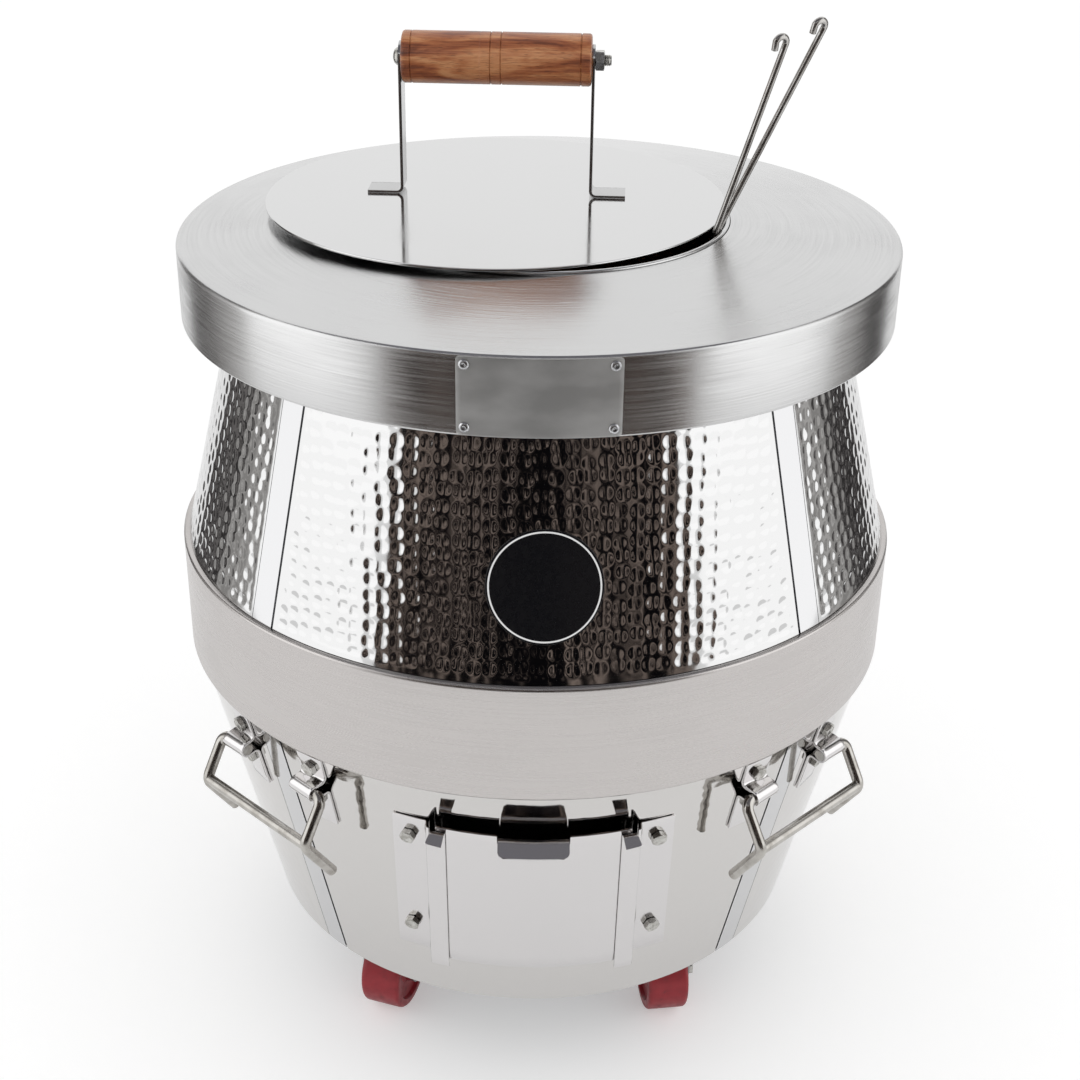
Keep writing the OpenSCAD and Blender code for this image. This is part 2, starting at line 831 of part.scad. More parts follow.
module rivet_hole() {
    translate([0, -5, 0]) rotate([-90, 0, 0]) cylinder(h = 10, d = rivet_d + 2 * bolt_slack, $fn = 32);
}

module name_plate() {
    plate_low_z = skirt_z + (skirt_h - plate_h) / 2;
    plate_in_r = cap_r + skin;
    color("gainsboro") difference() {
        intersection() {
            cone_shell(plate_low_z, plate_in_r, plate_low_z + plate_h, plate_in_r, plate_t, plate_t);
            translate([-plate_w / 2, -far, 0]) cube([plate_w, far, 2 * far]);
        }
        at_plate_rivets() rivet_hole();
    }
}

// Blind rivets: a domed head on the plate and a body through the skirt
module plate_rivets() {
    dome_h = 1.3;
    dome_r = (pow(rivet_head_d / 2, 2) + dome_h * dome_h) / (2 * dome_h);
    body_l = 6;
    color("darkgray") at_plate_rivets() translate([0, -plate_t - 2 * skin, 0]) {
        intersection() {
            translate([0, dome_r - dome_h, 0]) sphere(r = dome_r);
            rotate([90, 0, 0]) cylinder(h = dome_h + 1, d = rivet_head_d, $fn = 48);
        }
        rotate([-90, 0, 0]) cylinder(h = body_l, d = rivet_d, $fn = 32);
    }
}

module front_badge() {
    badge_az = asin(badge_x / upper_r(badge_z));
    color("black") intersection() {
        upper_shell(badge_z - badge_r, badge_z + badge_r, badge_t, badge_t + skin);
        on_upper(badge_az, badge_z) rotate([90, 0, 0]) cylinder(r = badge_r, h = far / 4, center = true);
    }
}

// Puts its children on the lid's top, in line with its handle
module on_lid() {
    translate([lid_x, lid_y, lid_top_z]) rotate([0, 0, lid_turn]) {
        translate([0, lid_handle_back, 0]) children();
    }
}

module lid_plate() {
    edge = lid_t / 4;
    color("gainsboro") translate([lid_x, lid_y, lid_z]) rotate_extrude() polygon([
        [0, 0], [lid_r - edge, 0], [lid_r, edge], [lid_r, lid_t - edge], [lid_r - edge, lid_t], [0, lid_t]
    ]);
}

// An L-shaped strip with a bent foot, which stands to the right of the grip
module lid_strap() {
    foot_x = strap_x + strap_t + strap_bend_r;
    color("silver") on_lid() difference() {
        union() {
            translate([0, strap_w / 2, 0]) rotate([90, 0, 0]) linear_extrude(strap_w) {
                translate([foot_x, 0]) square([strap_foot - strap_bend_r, strap_t]);
                translate([strap_x, strap_t + strap_bend_r]) {
                    square([strap_t, grip_z - strap_t - strap_bend_r]);
                }
                translate([foot_x, strap_t + strap_bend_r]) difference() {
                    circle(r = strap_t + strap_bend_r, $fn = 48);
                    circle(r = strap_bend_r, $fn = 48);
                    translate([0, -far]) square(2 * far);
                    translate([-far, 0]) square(2 * far);
                }
            }
            translate([strap_x, 0, grip_z]) rotate([0, 90, 0]) cylinder(h = strap_t, d = strap_w);
        }
        translate([0, 0, grip_z]) rotate([0, 90, 0]) cylinder(h = far, d = grip_bolt_d + 2 * bolt_slack);
    }
}

module lid_strap_right() {
    lid_strap();
}

module lid_strap_left() {
    translate([lid_x, lid_y, 0]) rotate([0, 0, lid_turn]) mirror([1, 0, 0]) {
        rotate([0, 0, -lid_turn]) translate([-lid_x, -lid_y, 0]) lid_strap();
    }
}

module lid_grip() {
    edge = 1.5;
    wood_r = grip_d / 2;
    bore_r = grip_bolt_d / 2 + axle_slack;
    color("peru") on_lid() translate([-grip_l / 2, 0, grip_z]) rotate([0, 90, 0]) rotate_extrude() polygon([
        [bore_r, 0], [wood_r - edge, 0], [wood_r, edge],
        [wood_r, grip_l - edge], [wood_r - edge, grip_l], [bore_r, grip_l]
    ]);
}

// A round-headed bolt through both strips and the grip
module grip_bolt() {
    head_h = 4.5;
    head_r = grip_bolt_d * 0.8;
    shank_x = strap_x + strap_t;
    shank_l = 2 * shank_x + grip_nut_h + grip_thread_l;
    color("silver") on_lid() translate([-shank_x, 0, grip_z]) rotate([0, 90, 0]) {
        cylinder(h = shank_l, d = grip_bolt_d);
        translate([0, 0, -head_h]) cylinder(h = head_h, r = head_r, $fn = 48);
    }
}

module grip_nut() {
    nut_x = strap_x + strap_t + skin;
    color("silver") on_lid() translate([nut_x, 0, grip_z]) rotate([0, 90, 0]) difference() {
        cylinder(h = grip_nut_h, d = grip_bolt_d * 1.6 / cos(30), $fn = 6);
        translate([0, 0, -1]) cylinder(h = grip_nut_h + 2, d = grip_bolt_d + 2 * axle_slack);
    }
}

// A skewer's line runs from the pot's floor past the axis to the mouth's edge, where the rod leans
function skewer_reach(foot) = foot + mouth_r
    - (skewer_d / 2 + seat) / cos(atan((mouth_r + foot) / skewer_rise));
function skewer_l(foot, out) = norm([skewer_reach(foot), skewer_rise]) + out;

// Puts its children on a skewer's line, with Z along it from the pot's floor
module on_skewer(az, foot) {
    at_az(az) translate([0, foot, skewer_foot_z]) {
        rotate([atan(skewer_reach(foot) / skewer_rise), 0, 0]) children();
    }
}

// A skewer's straight rod with its point
module skewer(az, foot, out) {
    tip_r = 0.5;
    color("silver") on_skewer(az, foot) {
        cylinder(h = point_l, r1 = tip_r, r2 = skewer_d / 2, $fn = 32);
        translate([0, 0, point_l]) cylinder(h = skewer_l(foot, out) - point_l, d = skewer_d, $fn = 32);
    }
}

// The hook into which the rod is bent at its top
module skewer_hook(az, foot, out) {
    hook_turn = 165;
    open_turn = 180 - hook_turn;
    color("silver") on_skewer(az, foot) translate([0, 0, skewer_l(foot, out)]) rotate([0, 0, 180 - az / 2]) {
        translate([hook_r, 0, 0]) rotate([90, 0, 0]) rotate([0, 0, open_turn]) {
            rotate_extrude(angle = hook_turn) translate([hook_r, 0]) circle(d = skewer_d, $fn = 32);
        }
        translate([hook_r + hook_r * cos(open_turn), 0, hook_r * sin(open_turn)]) {
            rotate([0, open_turn, 0]) translate([0, 0, -hook_end]) {
                cylinder(h = hook_end, d = skewer_d, $fn = 32);
            }
        }
    }
}

module skewer_short() {
    skewer(short_az, short_foot, short_out);
}

module skewer_short_hook() {
    skewer_hook(short_az, short_foot, short_out);
}

module skewer_long() {
    skewer(long_az, long_foot, long_out);
}

module skewer_long_hook() {
    skewer_hook(long_az, long_foot, long_out);
}

// Puts its children at one caster's swivel, turned as the caster is turned, with Z from the floor
module at_caster(i) {
    translate(caster_at[i]) rotate([0, 0, caster_yaw[i]]) children();
}

module at_caster_bolts() {
    for (p = caster_at, x = [-1, 1], y = [-1, 1]) {
        translate([p[0] + x * mount_bolt_x / 2, p[1] + y * mount_bolt_y / 2, base_z]) children();
    }
}

// Top plates with the upper swivel race and the kingpin that carries the fork
module caster_plates() {
    race_r = kingpin_d / 2 + 13;
    color("silver") difference() {
        for (p = caster_at) translate([p[0], p[1], 0]) {
            translate([-mount_l / 2, -mount_w / 2, mount_z]) cube([mount_l, mount_w, mount_t]);
            translate([0, 0, crown_z + 3 + seat]) cylinder(r = race_r, h = race_h - 3 - seat);
            pin_low_z = crown_z - fork_t - seat - pin_head_h;
            translate([0, 0, pin_low_z]) cylinder(r = pin_head_r, h = pin_head_h);
            translate([0, 0, pin_low_z]) cylinder(d = kingpin_d, h = mount_z - pin_low_z);
        }
        at_caster_bolts() cylinder(h = far, d = bolt_d + 2 * bolt_slack, center = true);
    }
}

module caster_bolts() {
    color("silver") at_caster_bolts() translate([0, 0, -mount_t - skin]) {
        translate([0, 0, -bolt_head_h]) cylinder(h = bolt_head_h, d = bolt_af / cos(30), $fn = 6);
        cylinder(h = mount_t + base_t + skin, d = bolt_d);
    }
}

// A fork: a crown under the race and two legs that reach back to the axle
module caster_fork(i) {
    crown_r = fork_in + fork_t + 2;
    boss_r = axle_d / 2 + 6;
    nose = kingpin_d / 2 + 8;
    heel = kingpin_d / 2 + 10;
    color("gray") at_caster(i) difference() {
        union() {
            translate([0, 0, crown_z - fork_t]) intersection() {
                cylinder(r = crown_r, h = fork_t);
                translate([-fork_in - fork_t, -far / 2, -1]) cube([2 * (fork_in + fork_t), far, fork_t + 2]);
            }
            translate([0, 0, crown_z - fork_t]) cylinder(r = kingpin_d / 2 + 11, h = fork_t + 3);
            for (x = [-fork_in - fork_t, fork_in]) {
                translate([x, 0, 0]) rotate([90, 0, 90]) linear_extrude(fork_t) {
                    translate([-trail, wheel_r]) circle(r = boss_r);
                    polygon([
                        [-trail - boss_r, wheel_r], [-trail + boss_r * 0.6, wheel_r - boss_r * 0.8],
                        [nose, crown_z - race_h - 1], [nose, crown_z], [-heel, crown_z]
                    ]);
                }
            }
        }
        translate([0, 0, crown_z]) cylinder(h = far / 8, d = kingpin_d + 2 * axle_slack, center = true);
        translate([-far / 2, -trail, wheel_r]) rotate([0, 90, 0]) {
            cylinder(h = far, d = axle_d + 2 * axle_slack);
        }
    }
}

module caster_axle(i) {
    head_h = 4;
    half = fork_in + fork_t + skin;
    color("silver") at_caster(i) translate([0, -trail, wheel_r]) rotate([0, 90, 0]) {
        cylinder(h = 2 * half, d = axle_d, center = true);
        for (s = [-1, 1]) translate([0, 0, s * (half + head_h / 2)]) {
            cylinder(h = head_h, d = axle_d * 1.6 / cos(30), $fn = 6, center = true);
        }
    }
}

// A wheel: a crowned tread, recessed sides and a hub that bears on the axle
module caster_wheel(i) {
    half = wheel_w / 2;
    crown = 2;
    hub_r = axle_d / 2 + 7;
    rim_r = wheel_r - 8;
    dish = 3;
    bore_r = axle_d / 2 + axle_slack;
    color("firebrick") at_caster(i) translate([0, -trail, wheel_r]) rotate([0, 90, 0]) {
        rotate_extrude() polygon([
            [bore_r, -half - 1], [hub_r, -half - 1], [hub_r, -half + dish], [rim_r, -half + dish],
            [rim_r + 1, -half], [wheel_r - crown, -half], [wheel_r, -half + crown],
            [wheel_r, half - crown], [wheel_r - crown, half], [rim_r + 1, half],
            [rim_r, half - dish], [hub_r, half - dish], [hub_r, half + 1], [bore_r, half + 1]
        ]);
    }
}

module caster_fork_front_left() {
    caster_fork(0);
}

module caster_fork_front_right() {
    caster_fork(1);
}

module caster_fork_rear_left() {
    caster_fork(2);
}

module caster_fork_rear_right() {
    caster_fork(3);
}

module caster_axle_front_left() {
    caster_axle(0);
}

module caster_axle_front_right() {
    caster_axle(1);
}

module caster_axle_rear_left() {
    caster_axle(2);
}

module caster_axle_rear_right() {
    caster_axle(3);
}

module caster_wheel_front_left() {
    caster_wheel(0);
}

module caster_wheel_front_right() {
    caster_wheel(1);
}

module caster_wheel_rear_left() {
    caster_wheel(2);
}

module caster_wheel_rear_right() {
    caster_wheel(3);
}

top_cap();
mouth_collar();
upper_panel_front();
upper_panel_right();
upper_panel_back();
upper_panel_left();
upper_seam_strips();
belly_band();
lower_panel_front();
lower_panel_right();
lower_panel_back();
lower_panel_left();
lower_seam_strips();
inner_frame();
base_plate();
clay_pot();
insulation();
draught_tunnel();
draught_door();
door_guide_left();
door_guide_right();
door_guide_bolts();
name_plate();
plate_rivets();
front_badge();
lid_plate();
lid_strap_left();
lid_strap_right();
lid_grip();
grip_bolt();
grip_nut();
skewer_short();
skewer_short_hook();
skewer_long();
skewer_long_hook();
handle_front_left();
handle_front_right();
handle_rear_left();
handle_rear_right();
handle_saddles();
saddle_bolts();
caster_plates();
caster_bolts();
caster_fork_front_left();
caster_fork_front_right();
caster_fork_rear_left();
caster_fork_rear_right();
caster_axle_front_left();
caster_axle_front_right();
caster_axle_rear_left();
caster_axle_rear_right();
caster_wheel_front_left();
caster_wheel_front_right();
caster_wheel_rear_left();
caster_wheel_rear_right();
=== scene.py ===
import json
import math

import bmesh
import bpy
from mathutils import Matrix, Vector


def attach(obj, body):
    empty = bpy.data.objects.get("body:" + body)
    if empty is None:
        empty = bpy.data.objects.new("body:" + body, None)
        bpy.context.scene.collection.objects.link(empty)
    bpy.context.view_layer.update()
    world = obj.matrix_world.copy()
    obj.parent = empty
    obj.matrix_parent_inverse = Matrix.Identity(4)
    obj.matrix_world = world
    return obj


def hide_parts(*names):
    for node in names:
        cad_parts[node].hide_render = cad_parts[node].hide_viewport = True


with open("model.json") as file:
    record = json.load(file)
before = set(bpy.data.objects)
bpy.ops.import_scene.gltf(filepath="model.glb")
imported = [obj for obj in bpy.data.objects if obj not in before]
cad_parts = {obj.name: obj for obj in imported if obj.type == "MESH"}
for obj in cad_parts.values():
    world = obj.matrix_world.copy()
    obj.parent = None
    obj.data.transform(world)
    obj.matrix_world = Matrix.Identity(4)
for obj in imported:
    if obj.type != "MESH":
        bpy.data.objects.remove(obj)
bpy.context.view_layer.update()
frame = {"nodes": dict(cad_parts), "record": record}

# Shapes are drawn in millimetres, as in the part's source, and turned to metres as they are placed.
MM, MICRON = 0.001, 0.000001

# The barrel, from the floor up
BASE_Z, BAND_Z, UPPER_Z, SKIRT_Z, CAP_Z = 87, 304, 390, 558, 610
BASE_R, BELLY_R, TOP_R, BAND_R, CAP_R = 210.5, 261.3, 220, 265.5, 254
SHEET, SEAT, SKIN, SHELF = 1.5, 0.3, 0.15, 9
STRIP_W, OPEN_SEAM, TIGHT_SEAM = 20, 1.9, 0.5
MOUTH_Z, MOUTH_R, BEAD_R, COLLAR_T, SLEEVE = 619.8, 131, 1.6, 1.6, 38

# The clay pot: heights of its foot, inside floor, widest place and rim, its inside radii there, and its wall
POT_FOOT_Z, POT_FLOOR_Z, POT_BELLY_Z, POT_RIM_Z = 127, 155, 350, 600
POT_FLOOR_R, POT_BELLY_R, POT_RIM_R, CLAY_T = 140, 172, 132.9, 28

# The draught opening, the door over it, its guides, and the fold from which its tab and their ears turn out.
# The tab is drawn 0.4 mm shorter than the CAD's.
VENT_W, VENT_H, VENT_Z = 96, 80, 158
DOOR_MID_Z, DOOR_HALF, DOOR_W, DOOR_STAND, DOOR_SLACK = 204, 71, 132, 6.5, 0.4
RAIL_EDGE, RAIL_W, FLANGE_W, RAIL_FOOT, EAR_L = 59.5, 13, 23, 7, 11
TAB_W, TAB_L, TAB_CORNER, FOLD_UP, FOLD_R = 48, 14.6, 4, 64, 2.2
TAB_DROOP, EAR_SPLAY, GUIDE_T = math.radians(16), math.radians(18), 1.1

# The side handles and their saddles
HANDLE_Z, PIN_STAND, ARM_X, ARM_L, LEG_L, PIN_BEND_R, BEND_R = 278, 7.6, 55.5, 35.6, 40, 6.5, 9
ARM_LEAN, LEG_TURN = math.radians(29.4), math.radians(64.4)
SADDLE_W, SADDLE_X, SADDLE_T, SADDLE_UP, SADDLE_DOWN, SADDLE_BOLT = 22, 37.7, 1.8, 25, 38, 14.5
HANDLE_SIDES = {"front_left": -44.5, "front_right": 44.5, "rear_left": -135.5, "rear_right": 135.5}
# Radii of the two sorts of rod, and of the bores in which a handle, an axle or the grip's bolt turns
HANDLE_ROD_R, SKEWER_R, BORE_R = 4.0, 2.25, 4.06

# The bare plate, its middle above the skirt's edge, and the badge, seen from the front
PLATE_T, PLATE_HALF_W, PLATE_HALF_H, PLATE_UP, PLATE_CORNER = 0.8, 49.5, 25, 26, 2
BADGE_X, BADGE_Z, BADGE_R, BADGE_T, RING_IN, RING_OUT = 5, 453, 37.5, 0.85, 35.1, 36.2

# The lid
LID_R, LID_T, LID_Z, LID_AT, LID_TURN = 164.6, 2, 621.7, (-31.2, 28.3), math.radians(-3)
GRIP_Z, GRIP_L, GRIP_D, STRAP_W, STRAP_T, STRAP_FOOT, STRAP_BACK = 95.5, 133, 36, 21.5, 2, 24, 10.5

# The casters: place and turn of each
CASTERS = {"front_left": (-102, -89, -19), "front_right": (102, -89, 8),
           "rear_left": (-102, 89, 171), "rear_right": (102, 89, 204)}
WHEEL_R, WHEEL_W, TRAIL = 32, 32, 22


class Cone:
    """One of the barrel's two cones of sheet steel."""

    def __init__(self, low_z, low_r, high_z, high_r):
        self.low_z, self.low_r = low_z, low_r
        self.slope = (high_r - low_r) / (high_z - low_z)
        self.tilt = math.atan(self.slope)

    def radius(self, z):
        return self.low_r + (z - self.low_z) * self.slope

    def point(self, side, z, out=0.0):
        """A place at an angle from the front, as high and as far out of the face as given."""
        r = self.radius(z) + out * math.cos(self.tilt)
        return Vector((r * math.sin(side), -r * math.cos(side), z - out * math.sin(self.tilt)))

    def normal(self, side):
        flat = math.cos(self.tilt)
        return Vector((flat * math.sin(side), -flat * math.cos(side), -math.sin(self.tilt)))

    def frame(self, side, z):
        """X along the face, Z up the slope and -Y out of it."""
        turn = Matrix.Rotation(side, 4, "Z") @ Matrix.Translation((0, -self.radius(z), z))
        return turn @ Matrix.Rotation(self.tilt, 4, "X")


lower = Cone(BASE_Z, BASE_R, BAND_Z, BELLY_R)
upper = Cone(UPPER_Z, BELLY_R, SKIRT_Z, TOP_R)
badge_side = math.asin(BADGE_X / upper.radius(BADGE_Z))


def linear(colour):
    """An sRGB hex colour as the linear colour that the shaders take."""
    parts = [int(colour[i:i + 2], 16) / 255 for i in (1, 3, 5)]
    return [p / 12.92 if p <= 0.04045 else ((p + 0.055) / 1.055) ** 2.4 for p in parts] + [1.0]


def add(tree, kind, inputs=None, **settings):
    """Adds one node with its settings; each input, by name or number, is a value or a socket to link."""
    made = tree.nodes.new(kind)
    for key, value in settings.items():
        setattr(made, key, value)
    for key, value in (inputs or {}).items():
        if isinstance(value, bpy.types.NodeSocket):
            tree.links.new(value, made.inputs[key])
        else:
            made.inputs[key].default_value = value
    return made


def calc(tree, operation, first, second, **settings):
    """Reckons with two patterns or numbers."""
    return add(tree, "ShaderNodeMath", {0: first, 1: second}, operation=operation, **settings).outputs[0]


# ---------------------------------------------------------------- finishes

def bare(name):
    """A material with an empty tree."""
    made = bpy.data.materials.new(name)
    made.use_nodes = True
    made.node_tree.nodes.clear()
    return made, made.node_tree


def finish(name, colour, metal, rough):
    """A material with its shader; returns the material, its tree, the shader and the Object coordinates."""
    made, tree = bare(name)
    shader = add(tree, "ShaderNodeBsdfPrincipled",
                 {"Base Color": linear(colour), "Metallic": metal, "Roughness": rough})
    add(tree, "ShaderNodeOutputMaterial", {"Surface": shader.outputs[0]})
    return made, tree, shader, add(tree, "ShaderNodeTexCoord").outputs["Object"]


def noise(tree, where, per_metre, detail, distortion=0.0):
    """A noise with so many grains to the metre, along all axes or along each."""
    grains = per_metre if isinstance(per_metre, tuple) else (per_metre,) * 3
    stretched = add(tree, "ShaderNodeVectorMath", {0: where, 1: grains}, operation="MULTIPLY").outputs[0]
    return add(tree, "ShaderNodeTexNoise", {"Vector": stretched, "Scale": 1.0, "Detail": detail,
                                            "Distortion": distortion}).outputs["Fac"]


def ranged(tree, value, low, high, start=0.3, end=0.7):
    """A pattern's stretch from start to end, by default its middle, made to run from low to high."""
    return add(tree, "ShaderNodeMapRange", {"Value": value, "From Min": start, "From Max": end,
                                            "To Min": low, "To Max": high}).outputs["Result"]


def raised(tree, shader, height, microns):
    """Gives the shader a bump whose full height is in microns."""
    bump = add(tree, "ShaderNodeBump", {"Height": height, "Distance": microns * MICRON, "Strength": 1.0})
    tree.links.new(bump.outputs["Normal"], shader.inputs["Normal"])


def tinted(tree, value, stops):
    """Colours along a pattern: stops are (place, sRGB hex)."""
    ramp = add(tree, "ShaderNodeValToRGB", {"Fac": value})
    points = ramp.color_ramp.elements
    while len(points) < len(stops):
        points.new(1.0)
    for point, (at, colour) in zip(points, stops):
        point.position = at
        point.color = linear(colour)
    return ramp.outputs["Color"]


def mixed(tree, share, first, second):
    """One colour going over into another."""
    return add(tree, "ShaderNodeMix", {0: share, 6: first, 7: second}, data_type="RGBA").outputs[2]


def patterned(name, metal, clouds, tones, rough, relief, microns):
    """A material with clouds and a relief, both given as (grains per metre, detail). Tones are one colour or
    stops along the clouds; rough is one value or a pair along them. Without a relief they are raised."""
    tinge = tones if isinstance(tones, str) else tones[-1][1]
    made, tree, shader, where = finish(name, tinge, metal, rough[0] if isinstance(rough, tuple) else rough)
    cloud = noise(tree, where, *clouds)
    if tinge != tones:
        tree.links.new(tinted(tree, cloud, tones), shader.inputs["Base Color"])
    if isinstance(rough, tuple):
        tree.links.new(ranged(tree, cloud, *rough), shader.inputs["Roughness"])
    raised(tree, shader, noise(tree, where, *relief) if relief else cloud, microns)
    return made


def brushed_round(name, colour, rough, line):
    """Stainless sheet satin-brushed round the axis: reflections smear across fine level lines. The real lines
    are about 0.1 mm apart; they are drawn as wide as given, so that they show."""
    made, tree, shader, where = finish(name, colour, 1.0, rough)
    # Coordinates whose third number grows up a wall and outwards on a top
    flat = add(tree, "ShaderNodeVectorMath", {0: where, 1: (1, 1, 0)}, operation="MULTIPLY").outputs[0]
    radius = add(tree, "ShaderNodeVectorMath", {0: flat}, operation="LENGTH").outputs["Value"]
    height = add(tree, "ShaderNodeSeparateXYZ", {0: where}).outputs["Z"]
    rise = add(tree, "ShaderNodeCombineXYZ", {"Z": calc(tree, "ADD", radius, height)}).outputs[0]
    turned = add(tree, "ShaderNodeVectorMath", {0: flat, 1: rise}, operation="ADD").outputs[0]
    lines = noise(tree, turned, (14, 14, 1 / (line * MM)), 4.0)
    patches = noise(tree, where, (16, 16, 26), 2.0)
    blend = calc(tree, "ADD", ranged(tree, lines, -0.05, 0.05), ranged(tree, patches, -0.03, 0.03))
    tree.links.new(calc(tree, "ADD", blend, rough), shader.inputs["Roughness"])
    shader.inputs["Anisotropic"].default_value = 0.7
    round_z = add(tree, "ShaderNodeTangent", direction_type="RADIAL", axis="Z").outputs[0]
    tree.links.new(round_z, shader.inputs["Tangent"])
    raised(tree, shader, lines, 40)
    return made


def polished_sheet(name, colour, rough, grain, microns):
    """Mirror-rolled or buffed stainless: clear reflections, with a faint grain of hairlines in them."""
    return patterned(name, 1.0, (22, 2.0), colour, (rough * 0.75, rough * 1.3), (grain, 3.0), microns)


def zinc_finish(name, bright, dull, rough):
    """Bright zinc plating on pressed or forged steel: cool grey, a little cloudy and pitted."""
    return patterned(name, 1.0, (240, 4.0), [(0.35, dull), (0.6, bright)], (rough * 1.4, rough * 0.8),
                     (1800, 2.0), 12)


def rod_finish(name, bright, dull, rough):
    """Drawn stainless rod: round highlights with fine scratches and dull patches from handling."""
    return patterned(name, 1.0, (90, 5.0), [(0.36, dull), (0.56, bright)], (rough * 1.5, rough * 0.8),
                     (1400, 2.0), 10)


def wood_finish():
    """Oiled sheesham turned on a lathe: red-brown, with dark streaks along the grip, pores and low gloss."""
    made, tree, shader, where = finish("oiled_sheesham", "#9a5730", 0.0, 0.38)
    turned = add(tree, "ShaderNodeVectorRotate", {"Vector": where, "Angle": -LID_TURN},
                 rotation_type="Z_AXIS").outputs[0]
    figure = noise(tree, turned, (16, 75, 75), 4.0, 0.9)
    fibre = noise(tree, turned, (28, 1100, 1100), 3.0)
    pores = noise(tree, turned, (150, 2600, 2600), 1.0)
    tone = calc(tree, "ADD", figure, ranged(tree, fibre, -0.06, 0.06))
    body = tinted(tree, tone, [(0.3, "#5a2b17"), (0.42, "#8b4a28"), (0.52, "#a9663c"), (0.66, "#c58a5c"),
                               (0.8, "#8f4f2c")])
    dark = mixed(tree, ranged(tree, pores, 0.0, 0.55, 0.58, 0.68), body, linear("#3c1d10"))
    tree.links.new(dark, shader.inputs["Base Color"])
    tree.links.new(ranged(tree, fibre, 0.3, 0.46), shader.inputs["Roughness"])
    shader.inputs["Coat Weight"].default_value = 0.25
    shader.inputs["Coat Roughness"].default_value = 0.22
    raised(tree, shader, fibre, 40)
    return made


def badge_finish():
    """Printed vinyl under a clear, glossy film: a black disc with a thin white ring inside its edge."""
    made, tree, shader, where = finish("printed_vinyl", "#101014", 0.0, 0.28)
    # The middle of its face, just under the film
    middle = upper.point(badge_side, BADGE_Z, 0.8) * MM
    away = add(tree, "ShaderNodeVectorMath", {0: where, 1: tuple(middle)},
               operation="DISTANCE").outputs["Value"]
    ring = calc(tree, "MULTIPLY", calc(tree, "GREATER_THAN", away, RING_IN * MM),
                calc(tree, "LESS_THAN", away, RING_OUT * MM))
    tree.links.new(mixed(tree, ring, linear("#101014"), linear("#ededed")), shader.inputs["Base Color"])
    film = noise(tree, where, 300, 2.0)
    tree.links.new(ranged(tree, film, 0.22, 0.34), shader.inputs["Roughness"])
    raised(tree, shader, film, 15)
    return made


# Upper panels, 304 stainless hammered by hand and buffed: near-mirror, every dent throws the room back
hammered_steel = polished_sheet("buffed_hammered_stainless", "#d2d2d2", 0.07, 500, 1.5)
# Lower panels, planished stainless: bright and level, its faint hammer marks only sway the reflections
planished_steel = polished_sheet("planished_stainless", "#d4d2d0", 0.055, (500, 500, 90), 1.5)
# Seam strips, mirror-rolled stainless: reflections as sharp as the panels', but straight
mirror_steel = polished_sheet("mirror_rolled_stainless", "#d1d1d2", 0.06, (900, 900, 30), 1.5)
# Lid, polished stainless disc: shows its strips as slightly blurred mirror images
lid_steel = polished_sheet("polished_lid_stainless", "#d6d6d6", 0.11, (18, 700, 700), 4)
# Door, guides and saddles, bright-rolled sheet with a faint grain up the slope: pale, with soft reflections
sheet_steel = polished_sheet("bright_rolled_stainless", "#dad8d8", 0.13, (650, 650, 24), 3)
# Flat bar of the lid's strips: greyer and duller than the sheets
strip_steel = polished_sheet("bright_flat_bar", "#bdbdbd", 0.2, (600, 600, 20), 3)
# Cap: a soft sheen that runs round the rim, in lines drawn 1.1 mm wide
cap_steel = brushed_round("satin_brushed_cap_stainless", "#d1d1d1", 0.22, 1.1)
# Belly band: the same brushing, greyer and with a finer line
band_steel = brushed_round("satin_brushed_band_stainless", "#c8c4c2", 0.27, 0.9)
# Etched plate: a fine matt grain that stays grey where the skirt round it mirrors the room
etched_plate = patterned("etched_stainless", 0.85, ((30, 30, 60), 3.0),
                         [(0.35, "#b0b0af"), (0.65, "#c2c2c1")], (0.42, 0.52), (1500, 2.0), 20)
# Heads of M6 bolts and of the casters' bolts: small bright glints
zinc_bolt = zinc_finish("bright_zinc_bolt", "#c9c8c4", "#a3a19b", 0.24)
# Pressed forks and plates of the casters: cooler and duller than the bolts
zinc_caster = zinc_finish("zinc_plated_pressing", "#b4b6b8", "#8f9194", 0.32)
# Soft blind rivets: pale dots on the grey plate
rivet_alloy = zinc_finish("bare_aluminium_rivet", "#d7d8da", "#b3b4b6", 0.3)
# Bail handles, warm grey and rubbed, and the skewers, a little darker
handle_rod = rod_finish("drawn_stainless_rod", "#bdbab5", "#a6a29c", 0.2)
skewer_rod = rod_finish("straightened_skewer_rod", "#b9b7b4", "#a09c98", 0.22)
# Hot-rolled mild steel inside the body: dull grey with darker scale in clouds, rough to the light
mill_steel = patterned("mill_scale_steel", 0.85, (30, 5.0), [(0.35, "#55575b"), (0.62, "#7d7f82")],
                       (0.6, 0.42), (900, 2.0), 10)
oiled_wood = wood_finish()
# The bottom of each groove, coloured nearly black: dry and matte
dark_groove = patterned("scorched_groove", 0.0, (600, 3.0), [(0.35, "#1d0d07"), (0.65, "#472415")],
                     0.75, None, 30)
# Sun-dried and fired clay with chopped fibre in it: warm, dusty and rough, darker towards smoke patches
fired_clay = patterned("fired_clay", 0.0, ((9, 9, 14), 4.0),
                       [(0.34, "#7a4a34"), (0.5, "#a66a49"), (0.68, "#bd8460")], 0.92, (420, 4.0), 400)
# Ceramic wool: off-white, fluffy and without shine
ceramic_wool = patterned("ceramic_wool", 0.0, (130, 5.0), [(0.35, "#d2cbbd"), (0.6, "#efeae0")],
                         1.0, None, 1000)
# Cast red polyurethane: an even deep red with a satin skin and a few scuffs from the floor
red_urethane = patterned("red_polyurethane", 0.0, (160, 5.0),
                         [(0.4, "#98202a"), (0.62, "#8e1e28"), (0.72, "#762228")],
                         (0.32, 0.5), (900, 2.0), 20)
